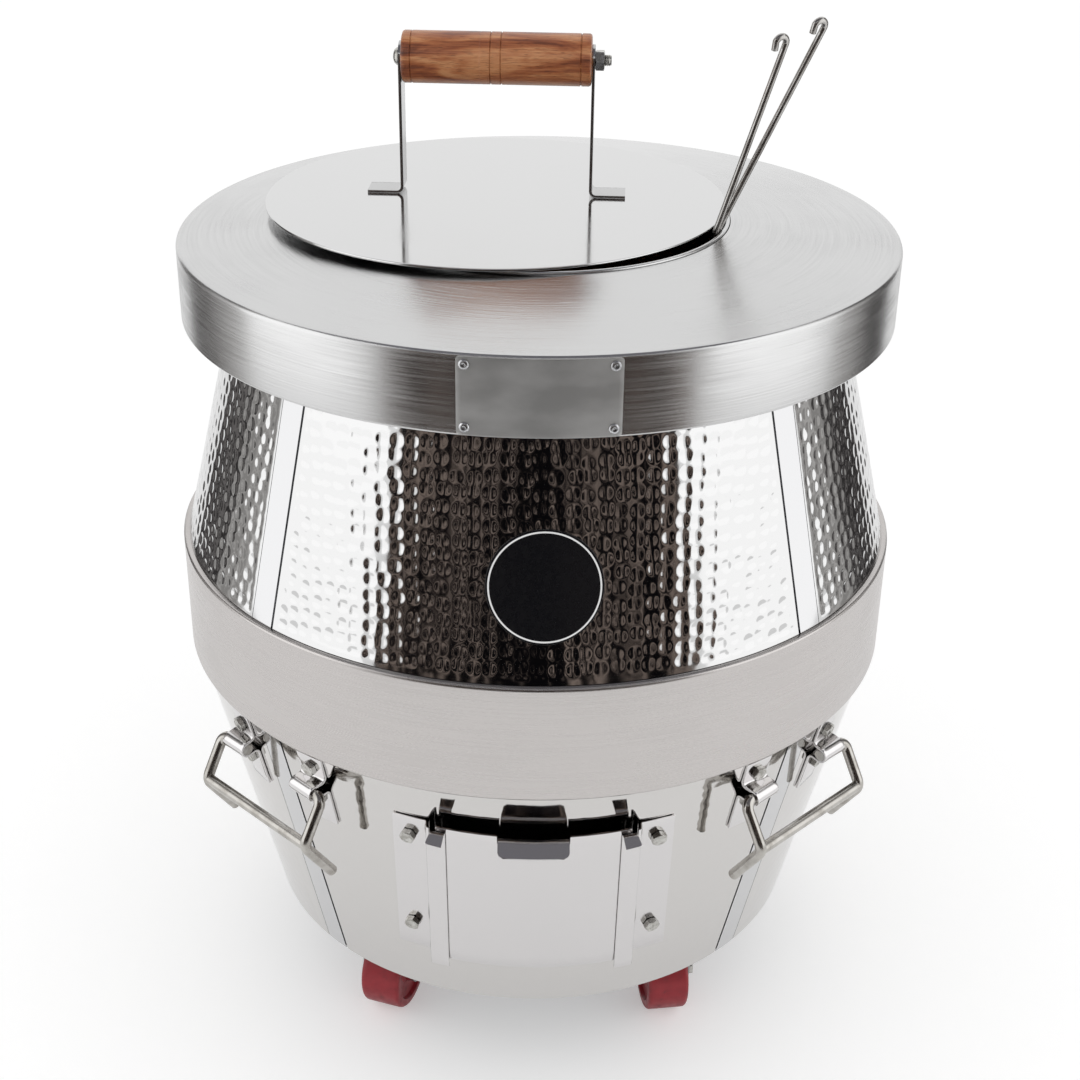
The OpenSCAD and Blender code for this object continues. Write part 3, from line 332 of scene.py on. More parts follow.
# Moulded black nylon hub: dull black with a fine grain
black_nylon = patterned("moulded_nylon", 0.0, (1200, 2.0), "#232427", (0.42, 0.6), None, 30)
printed_vinyl = badge_finish()


# ---------------------------------------------------------------- shapes

def merged(mesh):
    """Closes a mesh's poles and seams and turns its faces outwards."""
    work = bmesh.new()
    work.from_mesh(mesh)
    bmesh.ops.remove_doubles(work, verts=work.verts, dist=0.0005)
    bmesh.ops.recalc_face_normals(work, faces=work.faces)
    work.to_mesh(mesh)
    work.free()
    return mesh


def mesh_of(name, points, faces, banding=None, merge=True):
    """A mesh from points and faces; banding gives each face its finish, and merge closes poles and seams."""
    mesh = bpy.data.meshes.new(name)
    mesh.from_pydata([tuple(p) for p in points], [], faces)
    if banding:
        mesh.polygons.foreach_set("material_index", banding)
    return merged(mesh) if merge else mesh


def rounded(corners, radius, steps=4, closed=False, guard=0.6):
    """A path with arcs for corners. Short straight ends beside each arc keep the flats' shading level."""
    corners = [Vector(c) for c in corners]
    count = len(corners)
    radii = radius if isinstance(radius, (list, tuple)) else [radius] * count
    path = []
    for i, corner in enumerate(corners):
        if radii[i] == 0 or (not closed and i in (0, count - 1)):
            path.append(corner)
            continue
        before, after = corners[i - 1] - corner, corners[(i + 1) % count] - corner
        half = before.angle(after) / 2
        reach = radii[i] / math.tan(half)
        start, end = corner + before.normalized() * reach, corner + after.normalized() * reach
        middle = corner + (before.normalized() + after.normalized()).normalized() * radii[i] / math.sin(half)
        turn = math.pi - 2 * half
        path.append(start + before.normalized() * radii[i] * guard)
        for k in range(steps + 1):
            s = k / steps
            path.append(middle + ((start - middle) * math.sin((1 - s) * turn)
                                  + (end - middle) * math.sin(s * turn)) / math.sin(turn))
        path.append(end + after.normalized() * radii[i] * guard)
    return path


def lathe(name, profile, segments=192, banding=None):
    """A closed shape turned round Z: the (radius, height) profile goes once round its wall."""
    count = len(profile)
    points, faces, bands = [], [], []
    for s in range(segments):
        a = 2 * math.pi * s / segments
        points += [(p[0] * math.cos(a), p[0] * math.sin(a), p[1]) for p in profile]
        n = (s + 1) % segments
        for i in range(count):
            j = (i + 1) % count
            faces.append((s * count + i, s * count + j, n * count + j, n * count + i))
            bands.append(banding[i] if banding else 0)
    return mesh_of(name, points, faces, bands)


def stack(name, rings, loop=False):
    """A closed shape from rings of as many points each; its ends are capped, or the last meets the first."""
    n = len(rings[0])
    points = [p for ring in rings for p in ring]
    faces = []
    for i in range(len(rings) - (0 if loop else 1)):
        a, b = i * n, (i + 1) % len(rings) * n
        faces += [(a + k, a + (k + 1) % n, b + (k + 1) % n, b + k) for k in range(n)]
    if not loop:
        faces += [tuple(range(n)), tuple((len(rings) - 1) * n + k for k in range(n))]
    return mesh_of(name, points, faces)


def held(name, thing):
    """A new object in the scene, for a mesh, a lamp or a camera."""
    made = bpy.data.objects.new(name, thing)
    bpy.context.scene.collection.objects.link(made)
    return made


def taken(holder):
    """The plain mesh that an object's modifiers make; the object itself goes."""
    now = bpy.context.evaluated_depsgraph_get()
    made = bpy.data.meshes.new_from_object(holder.evaluated_get(now), preserve_all_data_layers=True,
                                           depsgraph=now)
    bpy.data.objects.remove(holder)
    return made


def dressed(mesh, *steps):
    """The plain mesh that a row of modifiers makes of a mesh."""
    holder = held("work", mesh)
    for kind, settings in steps:
        modifier = holder.modifiers.new(kind, kind)
        for key, value in settings.items():
            setattr(modifier, key, value)
    return taken(holder)


def eased(width, angle=40):
    """Broken edges, as wide as given."""
    return "BEVEL", dict(width=width, segments=2, limit_method="ANGLE", angle_limit=math.radians(angle),
                         harden_normals=False, use_clamp_overlap=True)


def grid(wide, high, keep=None):
    """The faces of a grid of so many points, left to right and upwards as seen from outside."""
    return [(i * wide + j, i * wide + j + 1, (i + 1) * wide + j + 1, (i + 1) * wide + j)
            for i in range(high - 1) for j in range(wide - 1) if keep is None or keep(i, j)]


def pressed_sheet(name, rows, thickness, keep=None, edge=0.25):
    """Sheet steel whose outer face is a grid of points; keep says which cells of it there are."""
    points = [p for row in rows for p in row]
    mesh = mesh_of(name, points, grid(len(rows[0]), len(rows), keep), merge=False)
    work = bmesh.new()
    work.from_mesh(mesh)
    bmesh.ops.delete(work, geom=[v for v in work.verts if not v.link_faces], context="VERTS")
    work.to_mesh(mesh)
    work.free()
    wall = "SOLIDIFY", dict(thickness=thickness, offset=-1.0, use_even_offset=True)
    return dressed(mesh, wall, eased(edge))


def joined(name, meshes):
    """Several meshes as one."""
    work = bmesh.new()
    for mesh in meshes:
        work.from_mesh(mesh)
    made = bpy.data.meshes.new(name)
    work.to_mesh(made)
    work.free()
    return made


def moved(mesh, matrix):
    mesh.transform(matrix)
    if matrix.determinant() < 0:
        mesh.flip_normals()
    return mesh


def vented(mesh):
    """A mesh with the draught opening cut through its front."""
    low = Vector((-VENT_W / 2 - SEAT, -400, VENT_Z - SEAT))
    high = Vector((VENT_W / 2 + SEAT, 0, VENT_Z + VENT_H + SEAT))
    tool = bpy.data.meshes.new("tool")
    work = bmesh.new()
    bmesh.ops.create_cube(work, size=1.0)
    work.to_mesh(tool)
    work.free()
    tool.transform(Matrix.Translation((low + high) / 2) @ Matrix.Diagonal((*(high - low), 1)))
    cutter = held("tool", tool)
    made = dressed(mesh, ("BOOLEAN", dict(operation="DIFFERENCE", object=cutter, solver="EXACT")))
    bpy.data.objects.remove(cutter)
    return made


body_of_node = {n: body for body, nodes in frame["record"]["behaviour"]["bodies"].items() for n in nodes}


def place(mesh, slot, finishes, *nodes, crease=32):
    """Makes a mesh drawn in millimetres the finished piece for its CAD nodes, riding on their body."""
    mesh.transform(Matrix.Scale(MM, 4))
    if finishes:
        mesh.materials.clear()
        for one in finishes:
            mesh.materials.append(one)
    mesh.polygons.foreach_set("use_smooth", [True] * len(mesh.polygons))
    mesh.set_sharp_from_angle(angle=math.radians(crease))
    piece = held(nodes[0] + "_finished", mesh)
    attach(piece, body_of_node[nodes[0]])
    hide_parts(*nodes)


# ---------------------------------------------------------------- trees of geometry nodes

def new_tree(name, **inputs):
    """A geometry node tree with named inputs: underscores stand for spaces, values say the socket's kind."""
    tree = bpy.data.node_groups.new(name, "GeometryNodeTree")
    tree.interface.new_socket("Geometry", in_out="INPUT", socket_type="NodeSocketGeometry")
    for key, kind in inputs.items():
        tree.interface.new_socket(key.replace("_", " "), in_out="INPUT", socket_type="NodeSocket" + kind)
    tree.interface.new_socket("Geometry", in_out="OUTPUT", socket_type="NodeSocketGeometry")
    return tree, add(tree, "NodeGroupInput").outputs


def end_tree(tree, shape, material):
    """Closes a tree: real geometry in its finish."""
    real = add(tree, "GeometryNodeRealizeInstances", {"Geometry": shape}).outputs[0]
    done = add(tree, "GeometryNodeSetMaterial", {"Geometry": real, "Material": material}).outputs[0]
    add(tree, "NodeGroupOutput", {"Geometry": done})


def grown(tree, mesh, **values):
    """The plain mesh that a tree makes of a mesh."""
    holder = held("work", mesh)
    modifier = holder.modifiers.new("grow", "NODES")
    modifier.node_group = tree
    for item in tree.interface.items_tree:
        key = item.name.replace(" ", "_")
        if item.item_type == "SOCKET" and item.in_out == "INPUT" and key in values:
            modifier[item.identifier] = values[key]
    return taken(holder)


def own(tree, name, kind):
    """What each point of the mesh knows under a name."""
    return add(tree, "GeometryNodeInputNamedAttribute", {"Name": name}, data_type=kind).outputs[0]


def teach(mesh, name, vectors):
    """Lets each point of a mesh know its vector under a name."""
    known = mesh.attributes.new(name, "FLOAT_VECTOR", "POINT")
    known.data.foreach_set("vector", [c for vector in vectors for c in vector])


def hammer_tree():
    """Hammer marks: round dents in loose rows on the sheet laid flat, and a slow buckle under them."""
    tree, given = new_tree("hammer_marks", Pitch="Float", Dent_radius="Float", Depth="Float", Wander="Float",
                           Buckle="Float", Finish="Material")
    flat, weight = own(tree, "flat", "FLOAT_VECTOR"), own(tree, "dent", "FLOAT")
    per_pitch = calc(tree, "DIVIDE", 1.0, given["Pitch"])
    laid = add(tree, "ShaderNodeVectorMath", {0: flat, "Scale": per_pitch}, operation="SCALE").outputs[0]
    cells = add(tree, "ShaderNodeTexVoronoi", {"Vector": laid, "Scale": 1.0, "Randomness": given["Wander"]},
                voronoi_dimensions="2D", feature="F1").outputs
    away = calc(tree, "MULTIPLY", cells["Distance"], given["Pitch"])
    share = calc(tree, "DIVIDE", away, given["Dent radius"], use_clamp=True)
    bowl = calc(tree, "SUBTRACT", 1.0, calc(tree, "POWER", share, 2.0))
    blow = add(tree, "ShaderNodeSeparateXYZ", {0: cells["Color"]}).outputs[0]
    dent = calc(tree, "MULTIPLY", bowl, ranged(tree, blow, 0.55, 1.15, 0.0, 1.0))
    dent = calc(tree, "MULTIPLY", dent, given["Depth"])
    # Buckles are as long as five dents
    slow = add(tree, "ShaderNodeTexNoise", {"Vector": laid, "Scale": 0.2, "Detail": 1.0}).outputs[0]
    sink = calc(tree, "ADD", dent, calc(tree, "MULTIPLY", slow, given["Buckle"]))
    sink = calc(tree, "MULTIPLY", calc(tree, "MULTIPLY", sink, weight), -1.0)
    normal = add(tree, "GeometryNodeInputNormal").outputs[0]
    shift = add(tree, "ShaderNodeVectorMath", {0: normal, "Scale": sink}, operation="SCALE").outputs[0]
    shape = add(tree, "GeometryNodeSetPosition", {"Geometry": given["Geometry"], "Offset": shift}).outputs[0]
    end_tree(tree, shape, given["Finish"])
    return tree


def fastener_tree():
    """One head on each point, standing along the point's own direction and turned at random about it."""
    tree, given = new_tree("fasteners", Head="Object", Seed="Int", Finish="Material")
    head = add(tree, "GeometryNodeObjectInfo",
               {"Object": given["Head"], "As Instance": True}).outputs["Geometry"]
    stand = add(tree, "FunctionNodeAlignRotationToVector", {"Vector": own(tree, "out", "FLOAT_VECTOR")},
                axis="Z").outputs[0]
    turn = add(tree, "FunctionNodeRandomValue", {2: 0.0, 3: 2 * math.pi, "Seed": given["Seed"]},
               data_type="FLOAT").outputs[1]
    spin = add(tree, "FunctionNodeAxisAngleToRotation", {"Axis": (0, 0, 1), "Angle": turn}).outputs[0]
    both = add(tree, "FunctionNodeRotateRotation", {0: stand, 1: spin}, rotation_space="LOCAL").outputs[0]
    shape = add(tree, "GeometryNodeInstanceOnPoints",
                {"Points": given["Geometry"], "Instance": head, "Rotation": both}).outputs[0]
    end_tree(tree, shape, given["Finish"])
    return tree


def rod_tree():
    """A round rod with flat ends along a line of points; its first stretch can run to a point."""
    tree, given = new_tree("bent_rod", Radius="Float", Sides="Int", Point="Float", Finish="Material")
    line = add(tree, "GeometryNodeMeshToCurve", {"Mesh": given["Geometry"]}).outputs[0]
    along = add(tree, "GeometryNodeSplineParameter").outputs["Length"]
    # The stretch begins just before the line, so that a rod without a point is full from its first point on
    width = ranged(tree, along, 0.15, 1.0, -0.001, given["Point"])
    line = add(tree, "GeometryNodeSetCurveRadius", {"Curve": line, "Radius": width}).outputs[0]
    ring = add(tree, "GeometryNodeCurvePrimitiveCircle",
               {"Resolution": given["Sides"], "Radius": given["Radius"]}).outputs[0]
    skin = add(tree, "GeometryNodeCurveToMesh",
               {"Curve": line, "Profile Curve": ring, "Scale": width, "Fill Caps": True}).outputs[0]
    end_tree(tree, skin, given["Finish"])
    return tree


hammer, fasteners, bent_rod = hammer_tree(), fastener_tree(), rod_tree()


# ---------------------------------------------------------------- barrel

def clad(cone, side, low, high, reach, columns, rows, fade=0.0):
    """A piece of the barrel's skin, reach(radius) wide to each side: a grid outside, closed behind.
    Each outer point knows its place on the sheet laid flat, and how deep a dent may be there."""
    points, flat, weight = [], [], []
    steep = abs(math.sin(cone.tilt))
    for i in range(rows + 1):
        z = low + (high - low) * i / rows
        r = cone.radius(z)
        half = reach(r)
        for j in range(columns + 1):
            a = half * (2 * j / columns - 1)
            points.append(cone.point(side + a, z))
            slant = r / steep
            flat.append((slant * math.sin(a * steep), slant * math.cos(a * steep), side))
            edge = min(z - low, high - z, r * (half - abs(a)))
            weight.append(min(1.0, max(0.0, (edge - PLAIN_EDGE) / fade)) if fade else 0.0)
    wide = columns + 1
    faces = grid(wide, rows + 1)
    first, top = len(points), rows * wide
    for z in (low, high):
        r = cone.radius(z) - SHEET
        half = reach(r + SHEET)
        for j in range(wide):
            a = side + half * (2 * j / columns - 1)
            points.append((r * math.sin(a), -r * math.cos(a), z))
    flat += [(0, 0, 0)] * (2 * wide)
    weight += [0.0] * (2 * wide)
    last = first + wide
    for j in range(columns):
        faces.append((first + j + 1, first + j, last + j, last + j + 1))
        faces.append((j + 1, j, first + j, first + j + 1))
        faces.append((top + j, top + j + 1, last + j + 1, last + j))
    faces.append(tuple(i * wide for i in range(rows + 1)) + (last, first))
    faces.append(tuple(i * wide + columns for i in range(rows, -1, -1)) + (first + columns, last + columns))
    mesh = mesh_of("skin", points, faces, merge=False)
    teach(mesh, "flat", flat)
    mesh.attributes.new("dent", "FLOAT", "POINT").data.foreach_set("value", weight)
    return mesh


def beside_seam(gap):
    """How far a panel reaches round from its middle, up to the joint at the strip."""
    return lambda r: math.pi / 4 - math.asin((STRIP_W / 2 + gap) / r)


def over_seam(r):
    return math.asin(STRIP_W / 2 / r)


# No dent starts nearer to a panel's edge than this
PLAIN_EDGE = 3.0
UPPER_SPAN, LOWER_SPAN = (UPPER_Z + SEAT, SKIRT_Z - SEAT), (BASE_Z, BAND_Z - SEAT)
for word, degrees in {"front": 0, "right": 90, "back": 180, "left": 270}.items():
    side = math.radians(degrees)
    # The front and back panels stop short of the strips and leave a dark joint; the side panels touch them
    reach = beside_seam(OPEN_SEAM if word in ("front", "back") else TIGHT_SEAM)
    # Dents 10.3 mm apart, as counted along the photographed panel's edge
    sheet = grown(hammer, clad(upper, side, *UPPER_SPAN, reach, 320, 150, 3.0), Pitch=10.3, Dent_radius=4.7,
                  Depth=0.5, Wander=0.34, Buckle=0.5, Finish=hammered_steel)
    place(sheet, "hammered_steel", None, "upper_panel_" + word)
    sheet = grown(hammer, clad(lower, side, *LOWER_SPAN, reach, 170, 104, 9.0), Pitch=9.0, Dent_radius=4.6,
                  Depth=0.07, Wander=0.4, Buckle=0.35, Finish=planished_steel)
    if word == "front":
        sheet = vented(sheet)
    place(sheet, "light_hammered_steel", [planished_steel], "lower_panel_" + word)

for cone, span, node in ((upper, UPPER_SPAN, "upper_seam_strips"), (lower, LOWER_SPAN, "lower_seam_strips")):
    strips = [clad(cone, math.radians(a), *span, over_seam, 10, 48) for a in (45, 135, 225, 315)]
    place(joined("strips", strips), "mirror_steel", [mirror_steel], node)

# The band: rolled, with soft folds where it turns in over the panels
shelf = BAND_R - SHELF
back = BAND_R - SHEET
band = rounded([(shelf, BAND_Z), (BAND_R, BAND_Z), (BAND_R, UPPER_Z), (shelf, UPPER_Z),
                (shelf, UPPER_Z - SHEET), (back, UPPER_Z - SHEET), (back, BAND_Z + SHEET),
                (shelf, BAND_Z + SHEET)], [0.2, 1.8, 1.8, 0.2, 0.2, 0.4, 0.4, 0.2], 4, True)
place(lathe("band", band, 288), "satin_steel", [band_steel], "belly_band")

# The cap: skirt, bend, shallow cone up to the mouth and the shelf under the skirt
throat = MOUTH_R + 2 * BEAD_R + SEAT
cap = rounded([(TOP_R - SHELF, SKIRT_Z), (CAP_R, SKIRT_Z), (CAP_R, CAP_Z + 0.25), (throat, MOUTH_Z),
               (throat, MOUTH_Z - SHEET), (CAP_R - SHEET, CAP_Z - SHEET), (CAP_R - SHEET, SKIRT_Z + SHEET),
               (TOP_R - SHELF, SKIRT_Z + SHEET)],
              [0.2, 1.2, 3.0, 0.5, 0.5, 1.5, 0.4, 0.2], 6, True)
place(lathe("cap", cap, 288), "satin_steel", [cap_steel], "top_cap")

# The collar: a sleeve with a rolled bead
bead = [(MOUTH_R + BEAD_R + BEAD_R * math.cos(a), MOUTH_Z + BEAD_R * math.sin(a))
        for a in [math.radians(d) for d in range(-30, 211, 20)]]
sleeve = [(MOUTH_R, MOUTH_Z - SLEEVE), (MOUTH_R + COLLAR_T, MOUTH_Z - SLEEVE)]
collar = sleeve + [(MOUTH_R + COLLAR_T, MOUTH_Z - 1.5), *bead, (MOUTH_R, MOUTH_Z - 1.5)]
place(lathe("collar", collar, 192), "satin_steel", [cap_steel], "mouth_collar")


# ---------------------------------------------------------------- pot

def pot_curve(clay):
    """The pot's wall from its floor to its rim, by parabolas below and above the widest place."""
    path = []
    for i in range(37):
        z = POT_FLOOR_Z + (POT_RIM_Z - POT_FLOOR_Z) * i / 36
        end_z, end_r = (POT_FLOOR_Z, POT_FLOOR_R) if z < POT_BELLY_Z else (POT_RIM_Z, POT_RIM_R)
        share = (z - POT_BELLY_Z) / (end_z - POT_BELLY_Z)
        path.append((POT_BELLY_R - (POT_BELLY_R - end_r) * share ** 2 + clay, z))
    return path


wall_out, wall_in = pot_curve(CLAY_T), pot_curve(0)[::-1]
rim_out, rim_in = wall_out[-1][0], wall_in[0][0]
foot = [(0, POT_FOOT_Z), (150, POT_FOOT_Z), (154, POT_FOOT_Z + 1)]
rim = [(rim_out, POT_RIM_Z - 2), (rim_out - 2, POT_RIM_Z), (rim_in + 2, POT_RIM_Z), (rim_in, POT_RIM_Z - 2)]
hearth = [(140.5, POT_FLOOR_Z + 3), (137, POT_FLOOR_Z), (0, POT_FLOOR_Z)]
pot = lathe("pot", foot + wall_out[:-1] + rim + wall_in[1:-1] + hearth, 128)
place(vented(pot), "clay", [fired_clay], "clay_pot")


# ---------------------------------------------------------------- draught door

door_frame = lower.frame(0, DOOR_MID_Z)
door_axes = door_frame.to_3x3()
door_arc = lower.radius(DOOR_MID_Z) / math.cos(lower.tilt)
door_r = door_arc + DOOR_STAND + SHEET
rail_r = door_r + DOOR_SLACK + SHEET


def on_slope(x, r, up):
    """A place on a cylinder along the front's slope."""
    return door_frame @ Vector((x, door_arc - math.sqrt(r * r - x * x), up))


def droop(axes):
    """The way out of the door's front and down that the tab and the ears take, and the way across them."""
    return axes @ Vector((0, -math.cos(TAB_DROOP), -math.sin(TAB_DROOP))), axes @ Vector((1, 0, 0))


def tab_path(x, out, side):
    """Points of one column of the tab, from the fold to its tip; towards the corners they draw together."""
    root, corner = on_slope(x, door_r, FOLD_UP), on_slope(x, door_r, DOOR_HALF - SHEET)
    path = rounded([root, corner, corner + out * TAB_L], FOLD_R, 6)[1:-1]
    turns = [math.radians(a) for a in (0, 20, 40, 60, 75, 90)]
    half, straight = TAB_W / 2, TAB_L - TAB_CORNER
    spread = [half] * (len(path) + 1) + [half - TAB_CORNER + TAB_CORNER * math.cos(a) for a in turns]
    path.append(corner + out * straight * 0.55)
    path += [corner + out * (straight + TAB_CORNER * math.sin(a)) for a in turns]
    return [p + side * (x * (s / half - 1)) for p, s in zip(path, spread)]


def door_sheet():
    """The door with its pull tab, bent from one sheet; small reliefs stand beside the bend."""
    beside = [TAB_W / 2 + 0.5, 25, 36, 48, 60, DOOR_W / 2]
    xs = [-x for x in beside[::-1]] + [TAB_W * (k / 12 - 0.5) for k in range(13)] + beside
    ups = [-DOOR_HALF, *range(-60, 49, 12), 58, FOLD_UP]
    out, side = droop(door_axes)
    inside = [abs(x) <= TAB_W / 2 for x in xs]
    columns = [tab_path(x, out, side) if tab else None for x, tab in zip(xs, inside)]
    depth = max(len(c) for c in columns if c)
    columns = [c or [on_slope(x, door_r, DOOR_HALF)] * depth for x, c in zip(xs, columns)]
    rows = [[on_slope(x, door_r, up) for x in xs] for up in ups] + [list(row) for row in zip(*columns)]
    last = len(ups) - 1

    def keep(i, j):
        ends = (inside[j], inside[j + 1])
        return i < last or all(ends) or (i == last and not any(ends))
    return pressed_sheet("door", rows, SHEET, keep)


place(door_sheet(), "satin_steel", [sheet_steel], "draught_door")


def guide_sheet(s):
    """One guide: flange on the barrel, wall, raised rail, foot below and an ear turned out at the top."""
    wall = RAIL_EDGE + RAIL_W
    near, far = RAIL_EDGE + 0.5, wall - 3.6
    ear_xs = [RAIL_EDGE] + [near + (far - near) * k / 3 for k in range(4)]

    def row(up):
        z = DOOR_MID_Z + up * math.cos(lower.tilt)
        on_barrel = [lower.point(s * math.asin(x / lower.radius(z)), z, SHEET + SKIN)
                     for x in (wall, wall + FLANGE_W)]
        rail = [on_slope(s * x, rail_r, up) for x in (RAIL_EDGE, near, far)]
        bent = rounded([rail[-1], on_slope(s * wall, rail_r, up), *on_barrel], [0, 1.7, 1.7, 0], 3)
        return rail[:2] + [rail[1].lerp(rail[2], k / 3) for k in (1, 2)] + bent

    ups = [-DOOR_HALF - RAIL_FOOT, -DOOR_HALF, *range(-56, 57, 14), FOLD_UP]
    rows = [row(up) for up in ups]
    top, last, ear_cells = row(DOOR_HALF), len(ups) - 1, len(ear_xs) - 1
    out, side = droop(door_axes @ Matrix.Rotation(s * EAR_SPLAY, 3, "Z"))
    middle_x = s * (RAIL_EDGE + wall) / 2
    middle = on_slope(middle_x, rail_r, DOOR_HALF - SHEET)
    columns = []
    for j, x in enumerate(ear_xs):
        corner = on_slope(s * x, rail_r, DOOR_HALF - SHEET)
        # The ear widens by a quarter towards its tip
        tip = middle + out * EAR_L + side * (s * x - middle_x) * 1.25
        columns.append(rounded([rows[-1][j], corner, tip], FOLD_R, 6)[1:-1]
                       + [corner.lerp(tip, 0.6), corner.lerp(tip, 0.85), tip])
    depth = len(columns[0])
    columns += [[p] * depth for p in top[len(ear_xs):]]
    rows += [list(row) for row in zip(*columns)]
    # The foot carries only the rail: the wall and the flange end at the door's lower edge
    foot_cells = len(top) - 5

    def keep(i, j):
        if i < last:
            return i > 0 or j < foot_cells
        return j < ear_cells or (i == last and j > ear_cells)
    if s < 0:
        rows = [r[::-1] for r in rows]
        wide = len(top) - 2
        return pressed_sheet("guide", rows, GUIDE_T, lambda i, j: keep(i, wide - j))
    return pressed_sheet("guide", rows, GUIDE_T, keep)


def stop_block(s):
    """The stop under the door's edge, welded into its rail."""
    xs = (RAIL_EDGE, RAIL_EDGE + RAIL_W - SHEET)
    rings = []
    for up in (-DOOR_HALF - SEAT - 3, -DOOR_HALF - SEAT):
        z = DOOR_MID_Z + up * math.cos(lower.tilt)
        inner = [lower.point(s * math.asin(x / lower.radius(z)), z, SKIN) for x in xs]
        outer = [on_slope(s * x, rail_r - SHEET / 2, up) for x in xs]
        rings.append([inner[0], inner[1], outer[1], outer[0]])
    return dressed(stack("stop", rings), eased(0.3))


for word, s in (("left", -1), ("right", 1)):
    guide = joined("guide", [guide_sheet(s), stop_block(s)])
    place(guide, "satin_steel", [sheet_steel], "door_guide_" + word)


# ---------------------------------------------------------------- hexagon bolts and rivets

def hexagon(across, z, chamfer_from, slope):
    """A hexagon as a ring of 36 points, whose corners dip below z; with a slope below 0 they rise."""
    ring = []
    for degrees in range(0, 360, 10):
        r = across / 2 / math.cos(math.radians((degrees + 30) % 60 - 30))
        a = math.radians(degrees)
        ring.append((r * math.cos(a), r * math.sin(a), z - (r - chamfer_from) * slope))
    return ring


def circle(r, z, count=36):
    turns = [2 * math.pi * k / count for k in range(count)]
    return [(r * math.cos(a), r * math.sin(a), z) for a in turns]


def bolt_head(across, height, shank):
    """A forged hexagon head: chamfered corners, a shallow dish on top and a stub of the shank."""
    flat = across * 0.465
    stub = [circle(shank / 2 - 0.3, -3), circle(shank / 2, -2.6), circle(shank / 2, 0)]
    sides = [hexagon(across, 0.0, across / 2, -0.3), hexagon(across, height, flat, 0.55)]
    dish = [circle(flat * r, height - deep) for r, deep in ((1, 0), (0.86, 0.05), (0.78, 0.3), (0.2, 0.32))]
    return stack("bolt", stub + sides + dish)


def rivet_head(across, height, shank):
    """A blind rivet: a low dome with the broken end of its pin sunk in the middle."""
    line = [(shank / 2, -3), (shank / 2, 0), (across / 2, 0), (across / 2, 0.25)]
    line += [(across * r, height * z)
             for r, z in ((0.42, 0.72), (0.3, 1), (0.23, 1), (0.2, 0.45), (0.1, 0.3), (0.05, 0.45))]
    return stack("rivet", [circle(r, z, 24) for r, z in line])


def fastened(seats, head, finish_, seed):
    """A head on every seat; a seat is a place and the way out of the surface."""
    mesh = bpy.data.meshes.new("seats")
    mesh.from_pydata([tuple(p) for p, _ in seats], [], [])
    teach(mesh, "out", [out for _, out in seats])
    holder = held("head", head)
    made = grown(fasteners, mesh, Head=holder, Seed=seed, Finish=finish_)
    bpy.data.objects.remove(holder)
    return made


# M6: 10 mm across flats and 4 mm high
bolt = bolt_head(10, 4, 6)
seats = []
for s in (-1, 1):
    for z in (162, 256):
        side = s * math.asin((RAIL_EDGE + RAIL_W + 12) / lower.radius(z))
        seats.append((lower.point(side, z, SHEET + 2 * SKIN), lower.normal(side)))
place(fastened(seats, bolt, zinc_bolt, 3), "bolt_zinc", None, "door_guide_bolts")

seats = []
saddle_turn = math.asin(SADDLE_X / lower.radius(HANDLE_Z))
for degrees in HANDLE_SIDES.values():
    for s in (-1, 1):
        side = math.radians(degrees) + s * saddle_turn
        spot = lower.frame(side, HANDLE_Z)
        for up in (-SADDLE_BOLT, SADDLE_BOLT):
            seats.append((spot @ Vector((0, -SADDLE_T - 2 * SKIN, up)), lower.normal(side)))
place(fastened(seats, bolt, zinc_bolt, 5), "bolt_zinc", None, "saddle_bolts")

# Under the casters' plates, which are 3 mm thick
seats = [(Vector((x + i * 24, y + j * 20, BASE_Z - 3 - SKIN)), Vector((0, 0, -1)))
         for x, y, _ in CASTERS.values() for i in (-1, 1) for j in (-1, 1)]
place(fastened(seats, bolt, zinc_bolt, 7), "bolt_zinc", None, "caster_bolts")

seats = []
for s in (-1, 1):
    side = s * math.asin((PLATE_HALF_W - 5) / CAP_R)
    out = Vector((math.sin(side), -math.cos(side), 0))
    for up in (5 - PLATE_HALF_H, PLATE_HALF_H - 5):
        seats.append((out * (CAP_R + PLATE_T + 2 * SKIN) + Vector((0, 0, SKIRT_Z + PLATE_UP + up)), out))
place(fastened(seats, rivet_head(6.5, 1.3, 4), rivet_alloy, 9), "rivet_aluminium", None, "plate_rivets")


# ---------------------------------------------------------------- plate and badge

def plate_sheet():
    """The bare plate, rolled to the skirt, with rounded corners."""
    r = CAP_R + SKIN + PLATE_T
    half_ups = [5, 14, 22, 23.4, 24.4, PLATE_HALF_H]
    rows = []
    for up in [-u for u in half_ups[::-1]] + half_ups:
        beyond = max(0, abs(up) - PLATE_HALF_H + PLATE_CORNER)
        half = PLATE_HALF_W - (PLATE_CORNER - math.sqrt(max(0, PLATE_CORNER ** 2 - beyond * beyond)))
        xs = [half * (2 * k / 32 - 1) for k in range(33)]
        rows.append([Vector((x, -math.sqrt(r * r - x * x), SKIRT_Z + PLATE_UP + up)) for x in xs])
    return pressed_sheet("plate", rows, PLATE_T, edge=0.12)


place(plate_sheet(), "etched_plate", [etched_plate], "name_plate")


def badge_disc():
    """A thin disc rolled onto the front panel: its rings run from its back's middle to its face's."""
    back = [(2, 0.16), (20, 0.16), (BADGE_R - 0.2, 0.16), (BADGE_R, 0.3)]
    face = [(BADGE_R, 0.7), (BADGE_R - 0.2, 0.84)] + [(r, BADGE_T) for r in (BADGE_R - 1, 30, 20, 10, 1)]
    rings = []
    for r, out in back + face:
        ring = []
        for k in range(96):
            a = 2 * math.pi * k / 96
            z = BADGE_Z + r * math.sin(a) * math.cos(upper.tilt)
            ring.append(upper.point(badge_side + r * math.cos(a) / upper.radius(z), z, out))
        rings.append(ring)
    return stack("badge", rings)


